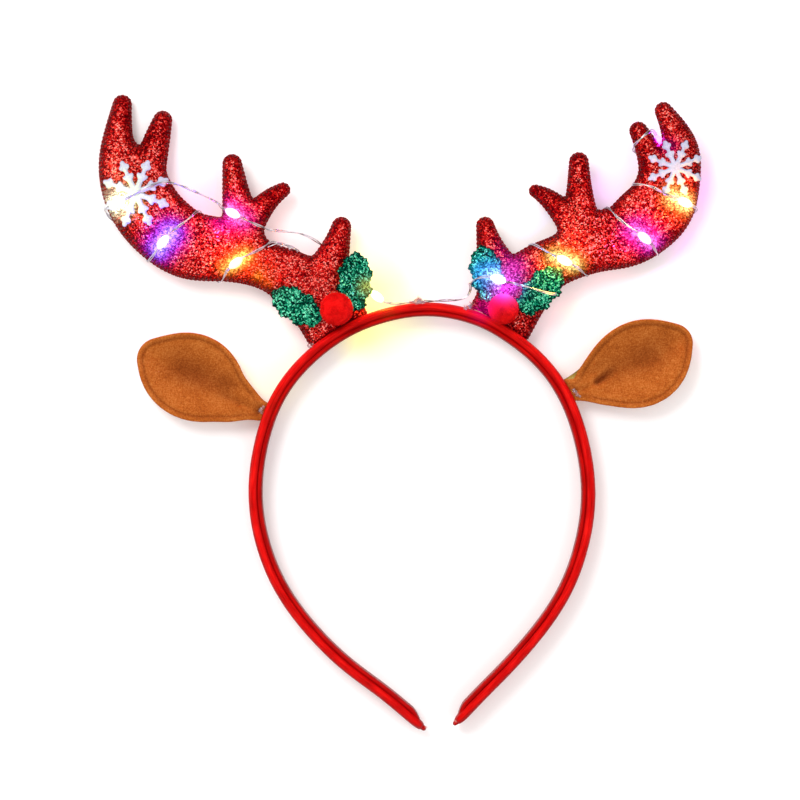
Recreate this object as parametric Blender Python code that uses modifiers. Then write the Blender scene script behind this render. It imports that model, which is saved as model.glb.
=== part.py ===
"""Reindeer antler headband, lying flat on a table.

The hoop lies in the XY plane with its crown at the origin, its mouth towards -Y and its
lower edge on z = 0. Two stuffed antlers and two felt ears stand out from its outer face,
with holly, a pompom and a snowflake on each antler and a string of small lights wound
round them. All lengths are in metres.
"""

import math

import bmesh
import bpy
import numpy as np
from mathutils import Matrix, Vector
from mathutils.bvhtree import BVHTree
from mathutils.geometry import delaunay_2d_cdt

# Clearances
GAP = 0.0003
FLOOR_GAP = 0.0003

# Fineness of the meshes. step: of the grid an outline is walked over, ring: how far inside the
# outline the second row of points lies, spacing: of the points inside
ANTLER_MESH = {"step": 0.0007, "ring": 0.0012, "spacing": 0.0038}
EAR_MESH = {"step": 0.0008, "ring": 0.0009, "spacing": 0.0042}
OUTLINE_TOLERANCE = 0.00012
RING_TOLERANCE = 0.00022
WIRE_TOLERANCE = 0.00018

# Hairband
HOOP_HALF_WIDTH = 0.060
HOOP_HEIGHT = 0.150
BAND_WIDTH = 0.010
BAND_THICKNESS = 0.0030
LINING_WIDTH = 0.0084
LINING_THICKNESS = 0.0012
LINING_INSET = 0.005
STRAP_THICKNESS = BAND_THICKNESS + GAP + LINING_THICKNESS
STRAP_CORNER = 0.30
TIP_LENGTH = 0.006
TIP_SHARE = 0.45

# Antlers
ANTLER_LENGTH = 0.1145
BEAM_WIDTH = 0.0238
PAD_THICKNESS = 0.012
PAD_FULLNESS = 0.0024
SEWN_EDGE = 0.0012
CROTCH_BLEND = 0.0008

# Ears
EAR_LENGTH = 0.0475
EAR_WIDTH = 0.0317
EAR_THICKNESS = 0.0032
EAR_CUP = 0.0045

# Trim
SNOWFLAKE_RADIUS = 0.0125
SNOWFLAKE_THICKNESS = 0.0010
LEAF_LENGTH = 0.0200
LEAF_WIDTH = 0.0115
LEAF_THICKNESS = 0.0010
LEAF_FOLD = 0.12
POMPOM_RADIUS = 0.0058
POMPOM_LOCK = 0.14
POMPOM_SQUASH = 0.82

# String of lights
WIRE_DIAMETER = 0.0007
DROP_LENGTH = 0.0060
DROP_DIAMETER = 0.0030
DROP_SAG = 0.0005
FREE_HEIGHT = 0.0096

# Centre line of the hoop from tip to tip.
# out: share of HOOP_HALF_WIDTH, down: share of HOOP_HEIGHT
HOOP = (
    (-0.018, 1.000),
    (-0.270, 0.916),
    (-0.513, 0.841),
    (-0.831, 0.697),
    (-0.990, 0.553),
    (-1.026, 0.409),
    (-0.915, 0.229),
    (-0.717, 0.121),
    (-0.516, 0.059),
    (-0.312, 0.022),
    (0.000, 0.000),
    (0.300, 0.022),
    (0.474, 0.058),
    (0.669, 0.120),
    (0.855, 0.229),
    (0.966, 0.409),
    (0.936, 0.553),
    (0.798, 0.697),
    (0.522, 0.841),
    (0.340, 0.916),
    (0.168, 0.988),
)

# Where things sit along the hoop, as shares of its length from the left tip
LEFT_ANTLER_SEAT = 0.435
RIGHT_ANTLER_SEAT = 0.583
LEFT_EAR_SEAT = 0.338
RIGHT_EAR_SEAT = 0.665

# Limbs of each antler from its seat.
# out and up: shares of ANTLER_LENGTH, width: of BEAM_WIDTH, lift above the table: of PAD_THICKNESS
LEFT_ANTLER = {
    "beam": (
        (0.000, 0.000, 0.97, 0.42),
        (0.063, 0.088, 0.94, 0.50),
        (0.154, 0.164, 0.79, 0.62),
        (0.239, 0.201, 0.70, 0.66),
        (0.365, 0.245, 0.91, 0.66),
        (0.465, 0.261, 1.00, 0.64),
        (0.544, 0.308, 1.03, 0.62),
        (0.607, 0.377, 1.03, 0.60),
        (0.648, 0.459, 0.97, 0.56),
        (0.689, 0.553, 0.59, 0.46),
        (0.689, 0.635, 0.41, 0.36),
        (0.679, 0.708, 0.30, 0.29),
    ),
    "inner_tine": (
        (0.597, 0.465, 0.52, 0.56),
        (0.575, 0.575, 0.45, 0.45),
        (0.553, 0.657, 0.29, 0.36),
    ),
    "middle_tine": (
        (0.299, 0.277, 0.61, 0.66),
        (0.324, 0.428, 0.39, 0.62),
        (0.336, 0.519, 0.27, 0.56),
    ),
    "side_tine": (
        (0.308, 0.289, 0.48, 0.66),
        (0.226, 0.399, 0.30, 0.60),
        (0.176, 0.437, 0.20, 0.56),
    ),
    "lowest_tine": (
        (0.063, 0.113, 0.79, 0.52),
        (0.009, 0.261, 0.42, 0.62),
        (-0.009, 0.321, 0.29, 0.60),
    ),
}
RIGHT_ANTLER = {
    "beam": (
        (-0.016, 0.000, 1.00, 0.42),
        (0.042, 0.094, 0.94, 0.50),
        (0.119, 0.173, 0.79, 0.62),
        (0.198, 0.214, 0.73, 0.66),
        (0.299, 0.264, 0.88, 0.62),
        (0.381, 0.286, 0.94, 0.50),
        (0.443, 0.330, 1.03, 0.52),
        (0.491, 0.377, 1.03, 0.60),
        (0.519, 0.447, 0.94, 0.72),
        (0.553, 0.538, 0.61, 0.95),
        (0.535, 0.610, 0.42, 1.15),
        (0.500, 0.670, 0.27, 1.35),
    ),
    "inner_tine": (
        (0.472, 0.478, 0.48, 0.76),
        (0.450, 0.557, 0.36, 0.95),
        (0.425, 0.607, 0.27, 1.10),
    ),
    "middle_tine": (
        (0.248, 0.280, 0.61, 0.66),
        (0.239, 0.421, 0.39, 0.66),
        (0.236, 0.513, 0.29, 0.66),
    ),
    "side_tine": (
        (0.236, 0.289, 0.48, 0.66),
        (0.148, 0.390, 0.30, 0.62),
        (0.101, 0.421, 0.18, 0.58),
    ),
    "lowest_tine": (
        (0.009, 0.107, 0.82, 0.52),
        (-0.044, 0.245, 0.39, 0.60),
        (-0.060, 0.311, 0.27, 0.60),
    ),
}

# Spine of each ear from its seat.
# out and up: shares of EAR_LENGTH, width: of EAR_WIDTH, lift: of BAND_WIDTH
LEFT_EAR = (
    (-0.026, -0.008, 0.20, 0.50),
    (0.065, 0.023, 0.26, 0.48),
    (0.164, 0.068, 0.39, 0.44),
    (0.277, 0.114, 0.57, 0.40),
    (0.398, 0.182, 0.77, 0.36),
    (0.527, 0.258, 0.98, 0.34),
    (0.641, 0.303, 0.89, 0.36),
    (0.806, 0.398, 0.50, 0.42),
)
RIGHT_EAR = (
    (-0.010, -0.004, 0.25, 0.50),
    (0.092, 0.004, 0.27, 0.48),
    (0.176, 0.042, 0.41, 0.44),
    (0.282, 0.087, 0.61, 0.40),
    (0.403, 0.140, 0.82, 0.36),
    (0.539, 0.193, 0.98, 0.34),
    (0.640, 0.246, 0.86, 0.36),
    (0.797, 0.352, 0.45, 0.42),
)

# Half of one snowflake arm, from its root to its tip.
# along: share of the radius, side: share of the radius
SNOWFLAKE_HALF_ARM = (
    (0.24, 0.045),
    (0.44, 0.050),
    (0.56, 0.185),
    (0.64, 0.150),
    (0.58, 0.050),
    (0.78, 0.045),
    (0.84, 0.150),
    (0.93, 0.130),
    (0.92, 0.055),
)
SNOWFLAKE_NOTCH = 0.20
SNOWFLAKE_ARMS = 8

# A drop's outline between the mouths of its channel.
# out: share of half DROP_DIAMETER, along: share of half DROP_LENGTH
DROP_PROFILE = (
    (0.85, 0.45),
    (1.00, 0.00),
    (0.85, -0.45),
)

# Half of the holly leaf's edge, from its stalk to its tip.
# along: share of LEAF_LENGTH, side: share of LEAF_WIDTH
LEAF_EDGE = (
    (0.02, 0.14),
    (0.09, 0.38),
    (0.18, 0.30),
    (0.28, 0.42),
    (0.36, 0.54),
    (0.44, 0.42),
    (0.55, 0.44),
    (0.66, 0.52),
    (0.73, 0.36),
    (0.86, 0.34),
    (0.90, 0.18),
)

# Trim on each antler, from the antler's seat in shares of ANTLER_LENGTH.
# turn: degrees, size: share of the named size
SNOWFLAKES = (
    ("left_snowflake", "left", 0.636, 0.423, 2, 1.02),
    ("right_snowflake", "right", 0.538, 0.490, 0, 0.84),
)
LEAVES = (
    ("left_outer_leaf", "left", 0.055, 0.024, 150, 1.05),
    ("left_inner_leaf", "left", -0.046, 0.053, 87, 1.10),
    ("right_inner_leaf", "right", -0.036, 0.073, 101, 1.05),
    ("right_outer_leaf", "right", 0.056, 0.040, 47, 1.08),
)
POMPOMS = (
    ("left_pompom", "left", 0.006, 0.059, 1.00),
    ("right_pompom", "right", -0.001, 0.048, 0.92),
)

# Route of the string on each antler, from the antler's seat in shares of ANTLER_LENGTH.
# side: front, back, edge (level with the sewn edge) or free; drop: a light sits here
LEFT_ROUTE = (
    (-0.173, 0.090, "edge", False),
    (-0.150, 0.080, "edge", False),
    (-0.118, 0.090, "edge", True),
    (-0.095, 0.125, "edge", False),
    (-0.060, 0.145, "back", False),
    (-0.010, 0.190, "back", False),
    (0.025, 0.235, "back", False),
    (0.060, 0.268, "edge", False),
    (0.110, 0.295, "free", False),
    (0.170, 0.305, "free", False),
    (0.226, 0.312, "edge", False),
    (0.270, 0.330, "front", False),
    (0.333, 0.360, "front", True),
    (0.375, 0.392, "edge", False),
    (0.435, 0.422, "free", False),
    (0.500, 0.450, "free", False),
    (0.550, 0.458, "front", False),
    (0.590, 0.445, "front", False),
    (0.645, 0.415, "front", False),
    (0.695, 0.390, "front", True),
    (0.738, 0.368, "edge", False),
    (0.700, 0.300, "back", False),
    (0.640, 0.245, "back", False),
    (0.595, 0.218, "edge", False),
    (0.552, 0.268, "front", True),
    (0.500, 0.320, "front", False),
    (0.462, 0.350, "front", False),
    (0.436, 0.368, "edge", False),
    (0.425, 0.300, "back", False),
    (0.400, 0.200, "back", False),
    (0.378, 0.142, "edge", False),
    (0.350, 0.180, "front", False),
    (0.328, 0.206, "front", True),
    (0.285, 0.228, "front", False),
    (0.245, 0.248, "front", False),
    (0.205, 0.268, "edge", False),
    (0.165, 0.262, "free", False),
    (0.128, 0.240, "edge", False),
    (0.120, 0.205, "back", False),
)
RIGHT_ROUTE = (
    (-0.340, 0.078, "edge", False),
    (-0.230, 0.074, "edge", False),
    (-0.140, 0.072, "edge", False),
    (-0.122, 0.112, "free", False),
    (-0.095, 0.140, "front", False),
    (-0.020, 0.149, "front", True),
    (0.022, 0.132, "front", False),
    (0.075, 0.117, "front", False),
    (0.125, 0.102, "front", False),
    (0.162, 0.092, "front", False),
    (0.198, 0.087, "free", False),
    (0.155, 0.150, "back", False),
    (0.110, 0.210, "back", False),
    (0.082, 0.256, "edge", False),
    (0.130, 0.232, "front", False),
    (0.189, 0.201, "front", True),
    (0.232, 0.178, "front", False),
    (0.262, 0.158, "edge", False),
    (0.290, 0.230, "back", False),
    (0.315, 0.320, "back", False),
    (0.322, 0.372, "edge", False),
    (0.365, 0.330, "front", False),
    (0.443, 0.274, "front", True),
    (0.475, 0.238, "front", False),
    (0.495, 0.212, "edge", False),
    (0.520, 0.270, "back", False),
    (0.570, 0.320, "back", False),
    (0.618, 0.345, "edge", False),
    (0.570, 0.383, "front", True),
    (0.500, 0.412, "front", False),
    (0.440, 0.440, "front", False),
    (0.392, 0.440, "edge", False),
    (0.400, 0.490, "back", False),
    (0.405, 0.520, "back", False),
    (0.408, 0.548, "edge", False),
    (0.430, 0.582, "front", False),
    (0.460, 0.603, "front", False),
    (0.484, 0.590, "edge", False),
    (0.492, 0.575, "edge", True),
    (0.505, 0.550, "back", False),
)


# Curves
def smooth_path(points, step):
    """Points about a step apart on the natural cubic spline through the given points."""
    points = np.asarray(points, float)
    chord = np.linalg.norm(np.diff(points, axis=0), axis=1)
    at = np.concatenate([[0.0], np.cumsum(np.sqrt(chord))])
    gaps = np.diff(at)
    count = len(points)
    system = np.eye(count)
    right = np.zeros_like(points)
    for i in range(1, count - 1):
        system[i, i - 1 : i + 2] = gaps[i - 1], 2 * (gaps[i - 1] + gaps[i]), gaps[i]
        slopes = (points[i + 1] - points[i]) / gaps[i] - (points[i] - points[i - 1]) / gaps[i - 1]
        right[i] = 6 * slopes
    bend = np.linalg.solve(system, right)
    fine = []
    for i in range(count - 1):
        pieces = max(2, math.ceil(chord[i] / step))
        last = i == count - 2
        for t in np.linspace(0, 1, pieces + 1)[: None if last else -1]:
            a, b = (1 - t), t
            curve = gaps[i] ** 2 / 6 * ((a**3 - a) * bend[i] + (b**3 - b) * bend[i + 1])
            fine.append(a * points[i] + b * points[i + 1] + curve)
    return np.array(fine)


def path_lengths(path):
    """How far along the path each of its points lies."""
    return np.concatenate([[0.0], np.cumsum(np.linalg.norm(np.diff(path, axis=0), axis=1))])


def resampled(path, count):
    """The path as points an equal distance apart."""
    at = path_lengths(path)
    even = np.linspace(0, at[-1], count)
    return np.column_stack([np.interp(even, at, column) for column in path.T])


def outward_normals(path):
    """Unit normals of the hoop's centre line in its plane, pointing away from the head."""
    along = np.gradient(path, axis=0)
    along /= np.linalg.norm(along, axis=1)[:, None]
    return np.column_stack([-along[:, 1], along[:, 0]])


def simplified(loop, tolerance):
    """The loop or path with the points left out that lie within a tolerance of a straight line."""

    def keep(first, last):
        if last - first < 2:
            return []
        a, b = loop[first], loop[last]
        middle = loop[first + 1 : last]
        span = b - a
        length = np.linalg.norm(span)
        if length < 1e-9:
            away = np.linalg.norm(middle - a, axis=1)
        else:
            share = np.clip((middle - a) @ span / length**2, 0, 1)
            away = np.linalg.norm(middle - a - share[:, None] * span, axis=1)
        worst = int(away.argmax())
        if away[worst] <= tolerance:
            return []
        split = first + 1 + worst
        return keep(first, split) + [split] + keep(split, last)

    last = len(loop) - 1
    return loop[[0] + keep(0, last) + [last]]


# The hoop's centre line, which everything else sits on. It passes through the middle of the
# lining and the band together, and lies so that the band's own middle meets the origin.
HOOP_PATH = resampled(
    smooth_path([(out * HOOP_HALF_WIDTH, -down * HOOP_HEIGHT) for out, down in HOOP], 0.001), 400
) - (0.0, (STRAP_THICKNESS - BAND_THICKNESS) / 2)
HOOP_NORMALS = outward_normals(HOOP_PATH)


def hoop_seat(share):
    """The point of the band's outer face at a share of the hoop's length."""
    at = round(share * (len(HOOP_PATH) - 1))
    return HOOP_PATH[at] + HOOP_NORMALS[at] * STRAP_THICKNESS / 2


def outside_hoop(points):
    """How far each point lies outside the hoop's centre line, negative inside it."""
    apart = points[:, None, :] - HOOP_PATH[None, ::4, :]
    distance = np.linalg.norm(apart, axis=2)
    nearest = distance.argmin(axis=1)
    rows = np.arange(len(points))
    side = np.einsum("ij,ij->i", apart[rows, nearest], HOOP_NORMALS[::4][nearest])
    return np.where(side < 0, -distance[rows, nearest], side)


# Padded outlines
class Limbs:
    """A flat outline made of round-ended limbs that run together, cut off at the band."""

    def __init__(self, limbs, blend):
        # Each limb is rows of x, y, half width and lift along a smooth line.
        self.limbs = [smooth_path(rows, 0.0015) for rows in limbs]
        self.blend = blend

    def measure(self, points):
        """(distance outside the outline before the band's cut, local half width, lift)"""
        away, half, lift = [], [], []
        for limb in self.limbs:
            a, b = limb[:-1], limb[1:]
            span = (b - a)[:, :2]
            offset = points[:, None, :] - a[None, :, :2]
            share = np.clip((offset * span).sum(axis=2) / (span**2).sum(axis=1), 0, 1)
            near = a[None] + share[..., None] * (b - a)[None]
            distance = np.linalg.norm(points[:, None, :] - near[..., :2], axis=2) - near[..., 2]
            best = distance.argmin(axis=1)
            rows = np.arange(len(points))
            away.append(distance[rows, best])
            half.append(near[rows, best, 2])
            lift.append(near[rows, best, 3])
        away, half, lift = np.array(away), np.array(half), np.array(lift)
        least = away.min(axis=0)
        joined = least - self.blend * np.log(np.exp(-(away - least) / self.blend).sum(axis=0))
        weight = np.exp(-(away - least) / (4 * self.blend))
        weight /= weight.sum(axis=0)
        return joined, (weight * half).sum(axis=0), (weight * lift).sum(axis=0)

    def field(self, points):
        """Distance outside the outline, with the band and its gap cut away."""
        seat = STRAP_THICKNESS / 2 + GAP
        return np.maximum(self.measure(points)[0], seat - outside_hoop(points))

    def box(self):
        """Lowest and highest corner of the outline."""
        low = np.min([(limb[:, :2] - limb[:, 2:3]).min(axis=0) for limb in self.limbs], axis=0)
        high = np.max([(limb[:, :2] + limb[:, 2:3]).max(axis=0) for limb in self.limbs], axis=0)
        return low, high


def contour(shape, level, step, tolerance):
    """The longest closed line where the shape's field has the level, walked over a square grid."""
    low, high = shape.box()
    nx, ny = (np.ceil((high - low) / step).astype(int) + 5).tolist()
    xs = low[0] + (np.arange(nx) - 2) * step
    ys = low[1] + (np.arange(ny) - 2) * step
    grid = np.stack(np.meshgrid(xs, ys, indexing="ij"), axis=-1)
    values = shape.field(grid.reshape(-1, 2)).reshape(nx, ny) - level
    values[values == 0] = 1e-9
    inside = values < 0
    corners = ((0, 0), (1, 0), (1, 1), (0, 1))
    following = {}
    for i in range(nx - 1):
        for j in range(ny - 1):
            cell = [inside[i + a, j + b] for a, b in corners]
            if all(cell) or not any(cell):
                continue
            for k in range(4):
                # An edge that leaves the inside starts a piece of the line in this cell.
                if cell[k] and not cell[(k + 1) % 4]:
                    end = k
                    while not (not cell[end % 4] and cell[(end + 1) % 4]):
                        end += 1
                    keys = []
                    for edge in (k, end % 4):
                        ends = [(i + corners[c % 4][0], j + corners[c % 4][1]) for c in (edge, edge + 1)]
                        keys.append(tuple(sorted(ends)))
                    following[keys[0]] = keys[1]
    loops = []
    while following:
        start, here = following.popitem()
        loop = [start, here]
        while here in following:
            here = following.pop(here)
            loop.append(here)
        loops.append(loop)
    longest = max(loops, key=len)
    line = []
    for a, b in longest[:-1]:
        share = values[a] / (values[a] - values[b])
        line.append(grid[a] * (1 - share) + grid[b] * share)
    line = np.array(line + line[:1])
    return simplified(line, tolerance)[:-1]


def filled(outline, inner):
    """(points, triangles) that fill the outline and use the inner points too."""
    count = len(outline)
    edges = [(i, (i + 1) % count) for i in range(count)]
    points = [Vector(p) for p in (*outline, *inner)]
    made, _, faces, *_ = delaunay_2d_cdt(points, edges, [], 1, 1e-7)
    if len(made) != len(points):
        raise ValueError("an outline crosses itself")
    return np.array([tuple(p) for p in made]), [tuple(face) for face in faces]


def hex_grid(low, high, spacing):
    """Points on a triangular grid over a box."""
    found = []
    row_step = spacing * math.sqrt(3) / 2
    for row in range(math.ceil((high[1] - low[1]) / row_step) + 1):
        shift = spacing / 2 * (row % 2)
        for column in range(math.ceil((high[0] - low[0]) / spacing) + 1):
            found.append((low[0] + shift + column * spacing, low[1] + row * row_step))
    return np.array(found)


def slab(points, faces, rim, bottom, top):
    """A closed mesh between two heights over flat triangles, with walls round the rim."""
    shape = bmesh.new()
    lower = [shape.verts.new((*p, z)) for p, z in zip(points, bottom)]
    upper = [shape.verts.new((*p, z)) for p, z in zip(points, top)]
    for a, b, c in faces:
        shape.faces.new((upper[a], upper[b], upper[c]))
        shape.faces.new((lower[c], lower[b], lower[a]))
    for i in range(rim):
        j = (i + 1) % rim
        shape.faces.new((lower[i], lower[j], upper[j], upper[i]))
    bmesh.ops.recalc_face_normals(shape, faces=shape.faces)
    return shape


# Scene
def cleared_collections():
    for obj in list(bpy.data.objects):
        bpy.data.objects.remove(obj)
    made = []
    for name in ("reindeer_antler_headband", "guides"):
        group = bpy.data.collections.new(name)
        bpy.context.scene.collection.children.link(group)
        made.append(group)
    return made


def material(name, color, roughness, metallic=0.0):
    made = bpy.data.materials.new(name)
    made.use_nodes = True
    shader = made.node_tree.nodes["Principled BSDF"]
    shader.inputs["Base Color"].default_value = (*color, 1.0)
    shader.inputs["Roughness"].default_value = roughness
    shader.inputs["Metallic"].default_value = metallic
    return made


def placed(name, data, finish, group):
    """A new object with its own material, in a collection."""
    obj = bpy.data.objects.new(name, data)
    data.materials.append(material(name, *finish))
    group.objects.link(obj)
    return obj


def mesh_object(name, shape, finish, group):
    mesh = bpy.data.meshes.new(name)
    shape.to_mesh(mesh)
    shape.free()
    mesh.shade_smooth()
    mesh.set_sharp_from_angle(angle=math.radians(50))
    return placed(name, mesh, finish, group)


# Hairband
def strap_profile(name, width, thickness, turns, group):
    """The strap's rounded section as a closed curve, to be swept along the hoop."""
    data = bpy.data.curves.new(name, "CURVE")
    data.dimensions = "2D"
    radius = thickness * STRAP_CORNER
    points = []
    for quarter in range(4):
        cx = (thickness / 2 - radius) * (1 if quarter in (0, 3) else -1)
        cy = (width / 2 - radius) * (1 if quarter in (0, 1) else -1)
        for turn in turns:
            angle = math.radians(quarter * 90 + turn)
            points.append((cx + radius * math.cos(angle), cy + radius * math.sin(angle)))
    line = data.splines.new("POLY")
    line.points.add(len(points) - 1)
    for point, (x, y) in zip(line.points, reversed(points)):
        point.co = (x, y, 0, 1)
    line.use_cyclic_u = True
    guide = bpy.data.objects.new(name, data)
    guide.hide_render = True
    guide.display_type = "WIRE"
    group.objects.link(guide)
    return guide


def strap(name, path, width, thickness, turns, finish, group, guides):
    """A flat strap swept along a level path, drawn in to a gathered nub at each end."""
    data = bpy.data.curves.new(name, "CURVE")
    data.dimensions = "3D"
    data.twist_mode = "Z_UP"
    data.bevel_mode = "OBJECT"
    data.bevel_object = strap_profile(name + "_profile", width, thickness, turns, guides)
    data.use_fill_caps = True
    line = data.splines.new("POLY")
    line.points.add(len(path) - 1)
    at = path_lengths(path)
    for point, (x, y), along in zip(line.points, path, at):
        end = min(along, at[-1] - along) / TIP_LENGTH
        point.co = (x, y, BAND_WIDTH / 2, 1)
        point.radius = TIP_SHARE + (1 - TIP_SHARE) * math.sqrt(1 - (1 - min(end, 1.0)) ** 2)
    return placed(name, data, finish, group)


def hoop_line(inset, cut, count):
    """The hoop's centre line moved towards the head and cut back at both tips, finer at the ends."""
    line = HOOP_PATH - HOOP_NORMALS * inset
    at = path_lengths(line)
    ends = np.array([0.0, 0.12, 0.3, 0.6, 1.0]) * TIP_LENGTH
    middle = np.linspace(ends[-1], at[-1] - 2 * cut - ends[-1], count)[1:-1]
    stops = cut + np.concatenate([ends, middle, at[-1] - 2 * cut - ends[::-1]])
    return np.column_stack([np.interp(stops, at, column) for column in line.T])


def make_hairband(group, guides):
    outer = (BAND_THICKNESS - STRAP_THICKNESS) / 2
    inner = (STRAP_THICKNESS - LINING_THICKNESS) / 2
    satin = ((0.62, 0.004, 0.008), 0.35)
    plain = ((0.45, 0.003, 0.006), 0.45)
    body = hoop_line(outer, 0, 42)
    inside = hoop_line(inner, LINING_INSET, 34)
    return [
        strap("hairband", body, BAND_WIDTH, BAND_THICKNESS, (0, 45, 90), satin, group, guides),
        strap(
            "hairband_lining", inside, LINING_WIDTH, LINING_THICKNESS, (15, 75), plain, group, guides
        ),
    ]


# Antlers and ears
def pad_shape(shape, heights, mesh):
    """A padded body over a shape's outline. heights gives its lower and upper face."""
    outline = contour(shape, 0.0, mesh["step"], OUTLINE_TOLERANCE)
    ring = contour(shape, -mesh["ring"], mesh["step"], RING_TOLERANCE)
    low, high = shape.box()
    inner = hex_grid(low, high, mesh["spacing"])
    inner = inner[shape.field(inner) < -(mesh["ring"] + 0.45 * mesh["spacing"])]
    points, faces = filled(outline, np.concatenate([ring, inner]))
    bottom, top = heights(shape, points)
    return slab(points, faces, len(outline), bottom, top)


def antler_limbs(table, seat, outward):
    x0, y0 = seat
    return [
        [
            (
                x0 + outward * out * ANTLER_LENGTH,
                y0 + up * ANTLER_LENGTH,
                width * BEAM_WIDTH / 2,
                lift * PAD_THICKNESS,
            )
            for out, up, width, lift in rows
        ]
        for rows in table.values()
    ]


def antler_heights(shape, points):
    """Lower and upper face of a stuffed antler: round across each limb, pressed flat near the table."""
    away, half, lift = shape.measure(points)
    across = np.clip(1 + away / half, 0, 1)
    fullest = np.sqrt(half * PAD_FULLNESS)
    fullest = np.minimum(fullest, (PAD_THICKNESS - SEWN_EDGE) / 2)
    fullest = np.minimum(fullest, lift - FLOOR_GAP - SEWN_EDGE / 2)
    swell = SEWN_EDGE / 2 + fullest * np.sqrt(1 - across**2)
    return lift - swell, lift + swell


def ear_heights(shape, points):
    """Lower and upper face of a felt ear, dished along its spine."""
    away, half, lift = shape.measure(points)
    across = np.clip(1 + away / half, 0, 1)
    middle = lift + EAR_CUP * across**2 * np.minimum(half / (EAR_WIDTH / 2), 1)
    felt = EAR_THICKNESS / 2 * (0.45 + 0.55 * np.sqrt(1 - across**4))
    return middle - felt, middle + felt


def make_antlers(group):
    made = {}
    plans = (
        ("left_antler", LEFT_ANTLER, LEFT_ANTLER_SEAT, -1),
        ("right_antler", RIGHT_ANTLER, RIGHT_ANTLER_SEAT, 1),
    )
    for name, table, seat, outward in plans:
        shape = Limbs(antler_limbs(table, hoop_seat(seat), outward), CROTCH_BLEND)
        body = pad_shape(shape, antler_heights, ANTLER_MESH)
        made[name] = mesh_object(name, body, ((0.55, 0.012, 0.018), 0.4, 0.3), group)
    return made


def make_ears(group):
    plans = (
        ("left_ear", LEFT_EAR, LEFT_EAR_SEAT, -1),
        ("right_ear", RIGHT_EAR, RIGHT_EAR_SEAT, 1),
    )
    made = []
    for name, rows, seat, outward in plans:
        x0, y0 = hoop_seat(seat)
        spine = [
            (
                x0 + outward * out * EAR_LENGTH,
                y0 + up * EAR_LENGTH,
                width * EAR_WIDTH / 2,
                lift * BAND_WIDTH,
            )
            for out, up, width, lift in rows
        ]
        shape = Limbs([spine], CROTCH_BLEND)
        body = pad_shape(shape, ear_heights, EAR_MESH)
        made.append(mesh_object(name, body, ((0.45, 0.15, 0.035), 0.95), group))
    return made


# What lies on the antlers
class Surface:
    """The solids that lighter pieces lie on."""

    def __init__(self, objects):
        graph = bpy.context.evaluated_depsgraph_get()
        joined = bmesh.new()
        for obj in objects:
            mesh = bpy.data.meshes.new_from_object(obj.evaluated_get(graph))
            mesh.transform(obj.matrix_world)
            joined.from_mesh(mesh)
            bpy.data.meshes.remove(mesh)
        self.tree = BVHTree.FromBMesh(joined)
        joined.free()

    def face(self, x, y, down):
        """The highest or lowest point of the solids at a place, or None beside them."""
        return self.tree.ray_cast(Vector((x, y, 1.0 * down)), Vector((0, 0, -down)))[0]

    def top(self, x, y):
        """Height of the highest face at a point, or of the nearest edge where there is none."""
        hit = self.face(x, y, 1) or self.tree.find_nearest(Vector((x, y, BAND_WIDTH)))[0]
        return hit.z

    def bottom(self, x, y):
        """Height of the lowest face at a point, or of the nearest edge where there is none."""
        hit = self.face(x, y, -1) or self.tree.find_nearest(Vector((x, y, 0.0)))[0]
        return hit.z

    def rest(self, x, y, reach):
        """The highest top within reach of a point, as a stiff sheet meets it."""
        ring = [math.radians(turn) for turn in range(0, 360, 45)]
        around = [(x + reach * math.cos(a), y + reach * math.sin(a)) for a in ring]
        return max(self.top(*spot) for spot in [(x, y), *around])


def antler_point(side, out, up):
    """A place given in shares of the antler's length from its seat."""
    outward, share = (-1, LEFT_ANTLER_SEAT) if side == "left" else (1, RIGHT_ANTLER_SEAT)
    x0, y0 = hoop_seat(share)
    return np.array([x0 + outward * out * ANTLER_LENGTH, y0 + up * ANTLER_LENGTH])


def snowflake_outline(radius):
    """The outline of a flat snowflake: equal arms, each with a pair of barbs and a three-part tip."""
    arm = 360 / SNOWFLAKE_ARMS
    notch = SNOWFLAKE_NOTCH * radius
    points = []
    for k in range(SNOWFLAKE_ARMS):
        middle = math.radians(arm * (k + 0.5))
        along = np.array([math.cos(middle), math.sin(middle)])
        across = np.array([-along[1], along[0]])
        rising = [along * a * radius - across * s * radius for a, s in SNOWFLAKE_HALF_ARM]
        falling = [along * a * radius + across * s * radius for a, s in SNOWFLAKE_HALF_ARM[::-1]]
        tip = [along * radius]
        turn = math.radians(arm * (k + 1))
        between = [notch * np.array([math.cos(turn), math.sin(turn)])]
        points += rising + tip + falling + between
    return np.array(points)


def make_snowflakes(group, surface):
    made = []
    for name, side, out, up, turn, size in SNOWFLAKES:
        outline = snowflake_outline(SNOWFLAKE_RADIUS * size)
        angle = math.radians(turn)
        spin = np.array([[math.cos(angle), math.sin(angle)], [-math.sin(angle), math.cos(angle)]])
        outline = outline @ spin + antler_point(side, out, up)
        points, faces = filled(outline, [antler_point(side, out, up)])
        bottom = np.array([surface.rest(*p, SNOWFLAKE_THICKNESS) for p in points]) + GAP
        body = slab(points, faces, len(outline), bottom, bottom + SNOWFLAKE_THICKNESS)
        made.append(mesh_object(name, body, ((0.86, 0.86, 0.92), 0.9), group))
    return made


def leaf_outline(length, width):
    upper = [(a * length, s * width) for a, s in LEAF_EDGE]
    lower = [(a * length, -s * width) for a, s in LEAF_EDGE[::-1]]
    return np.array([(0.0, 0.0)] + lower[::-1] + [(length, 0.0)] + upper[::-1])


def laid_flat(points, surface):
    """Heights of the sloping plane that lies just clear of what is under the points."""
    rest = np.array([surface.top(*p) for p in points])
    table = np.column_stack([points, np.ones(len(points))])
    plane = table @ np.linalg.lstsq(table, rest, rcond=None)[0]
    return plane + (rest - plane).max() + GAP


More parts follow.
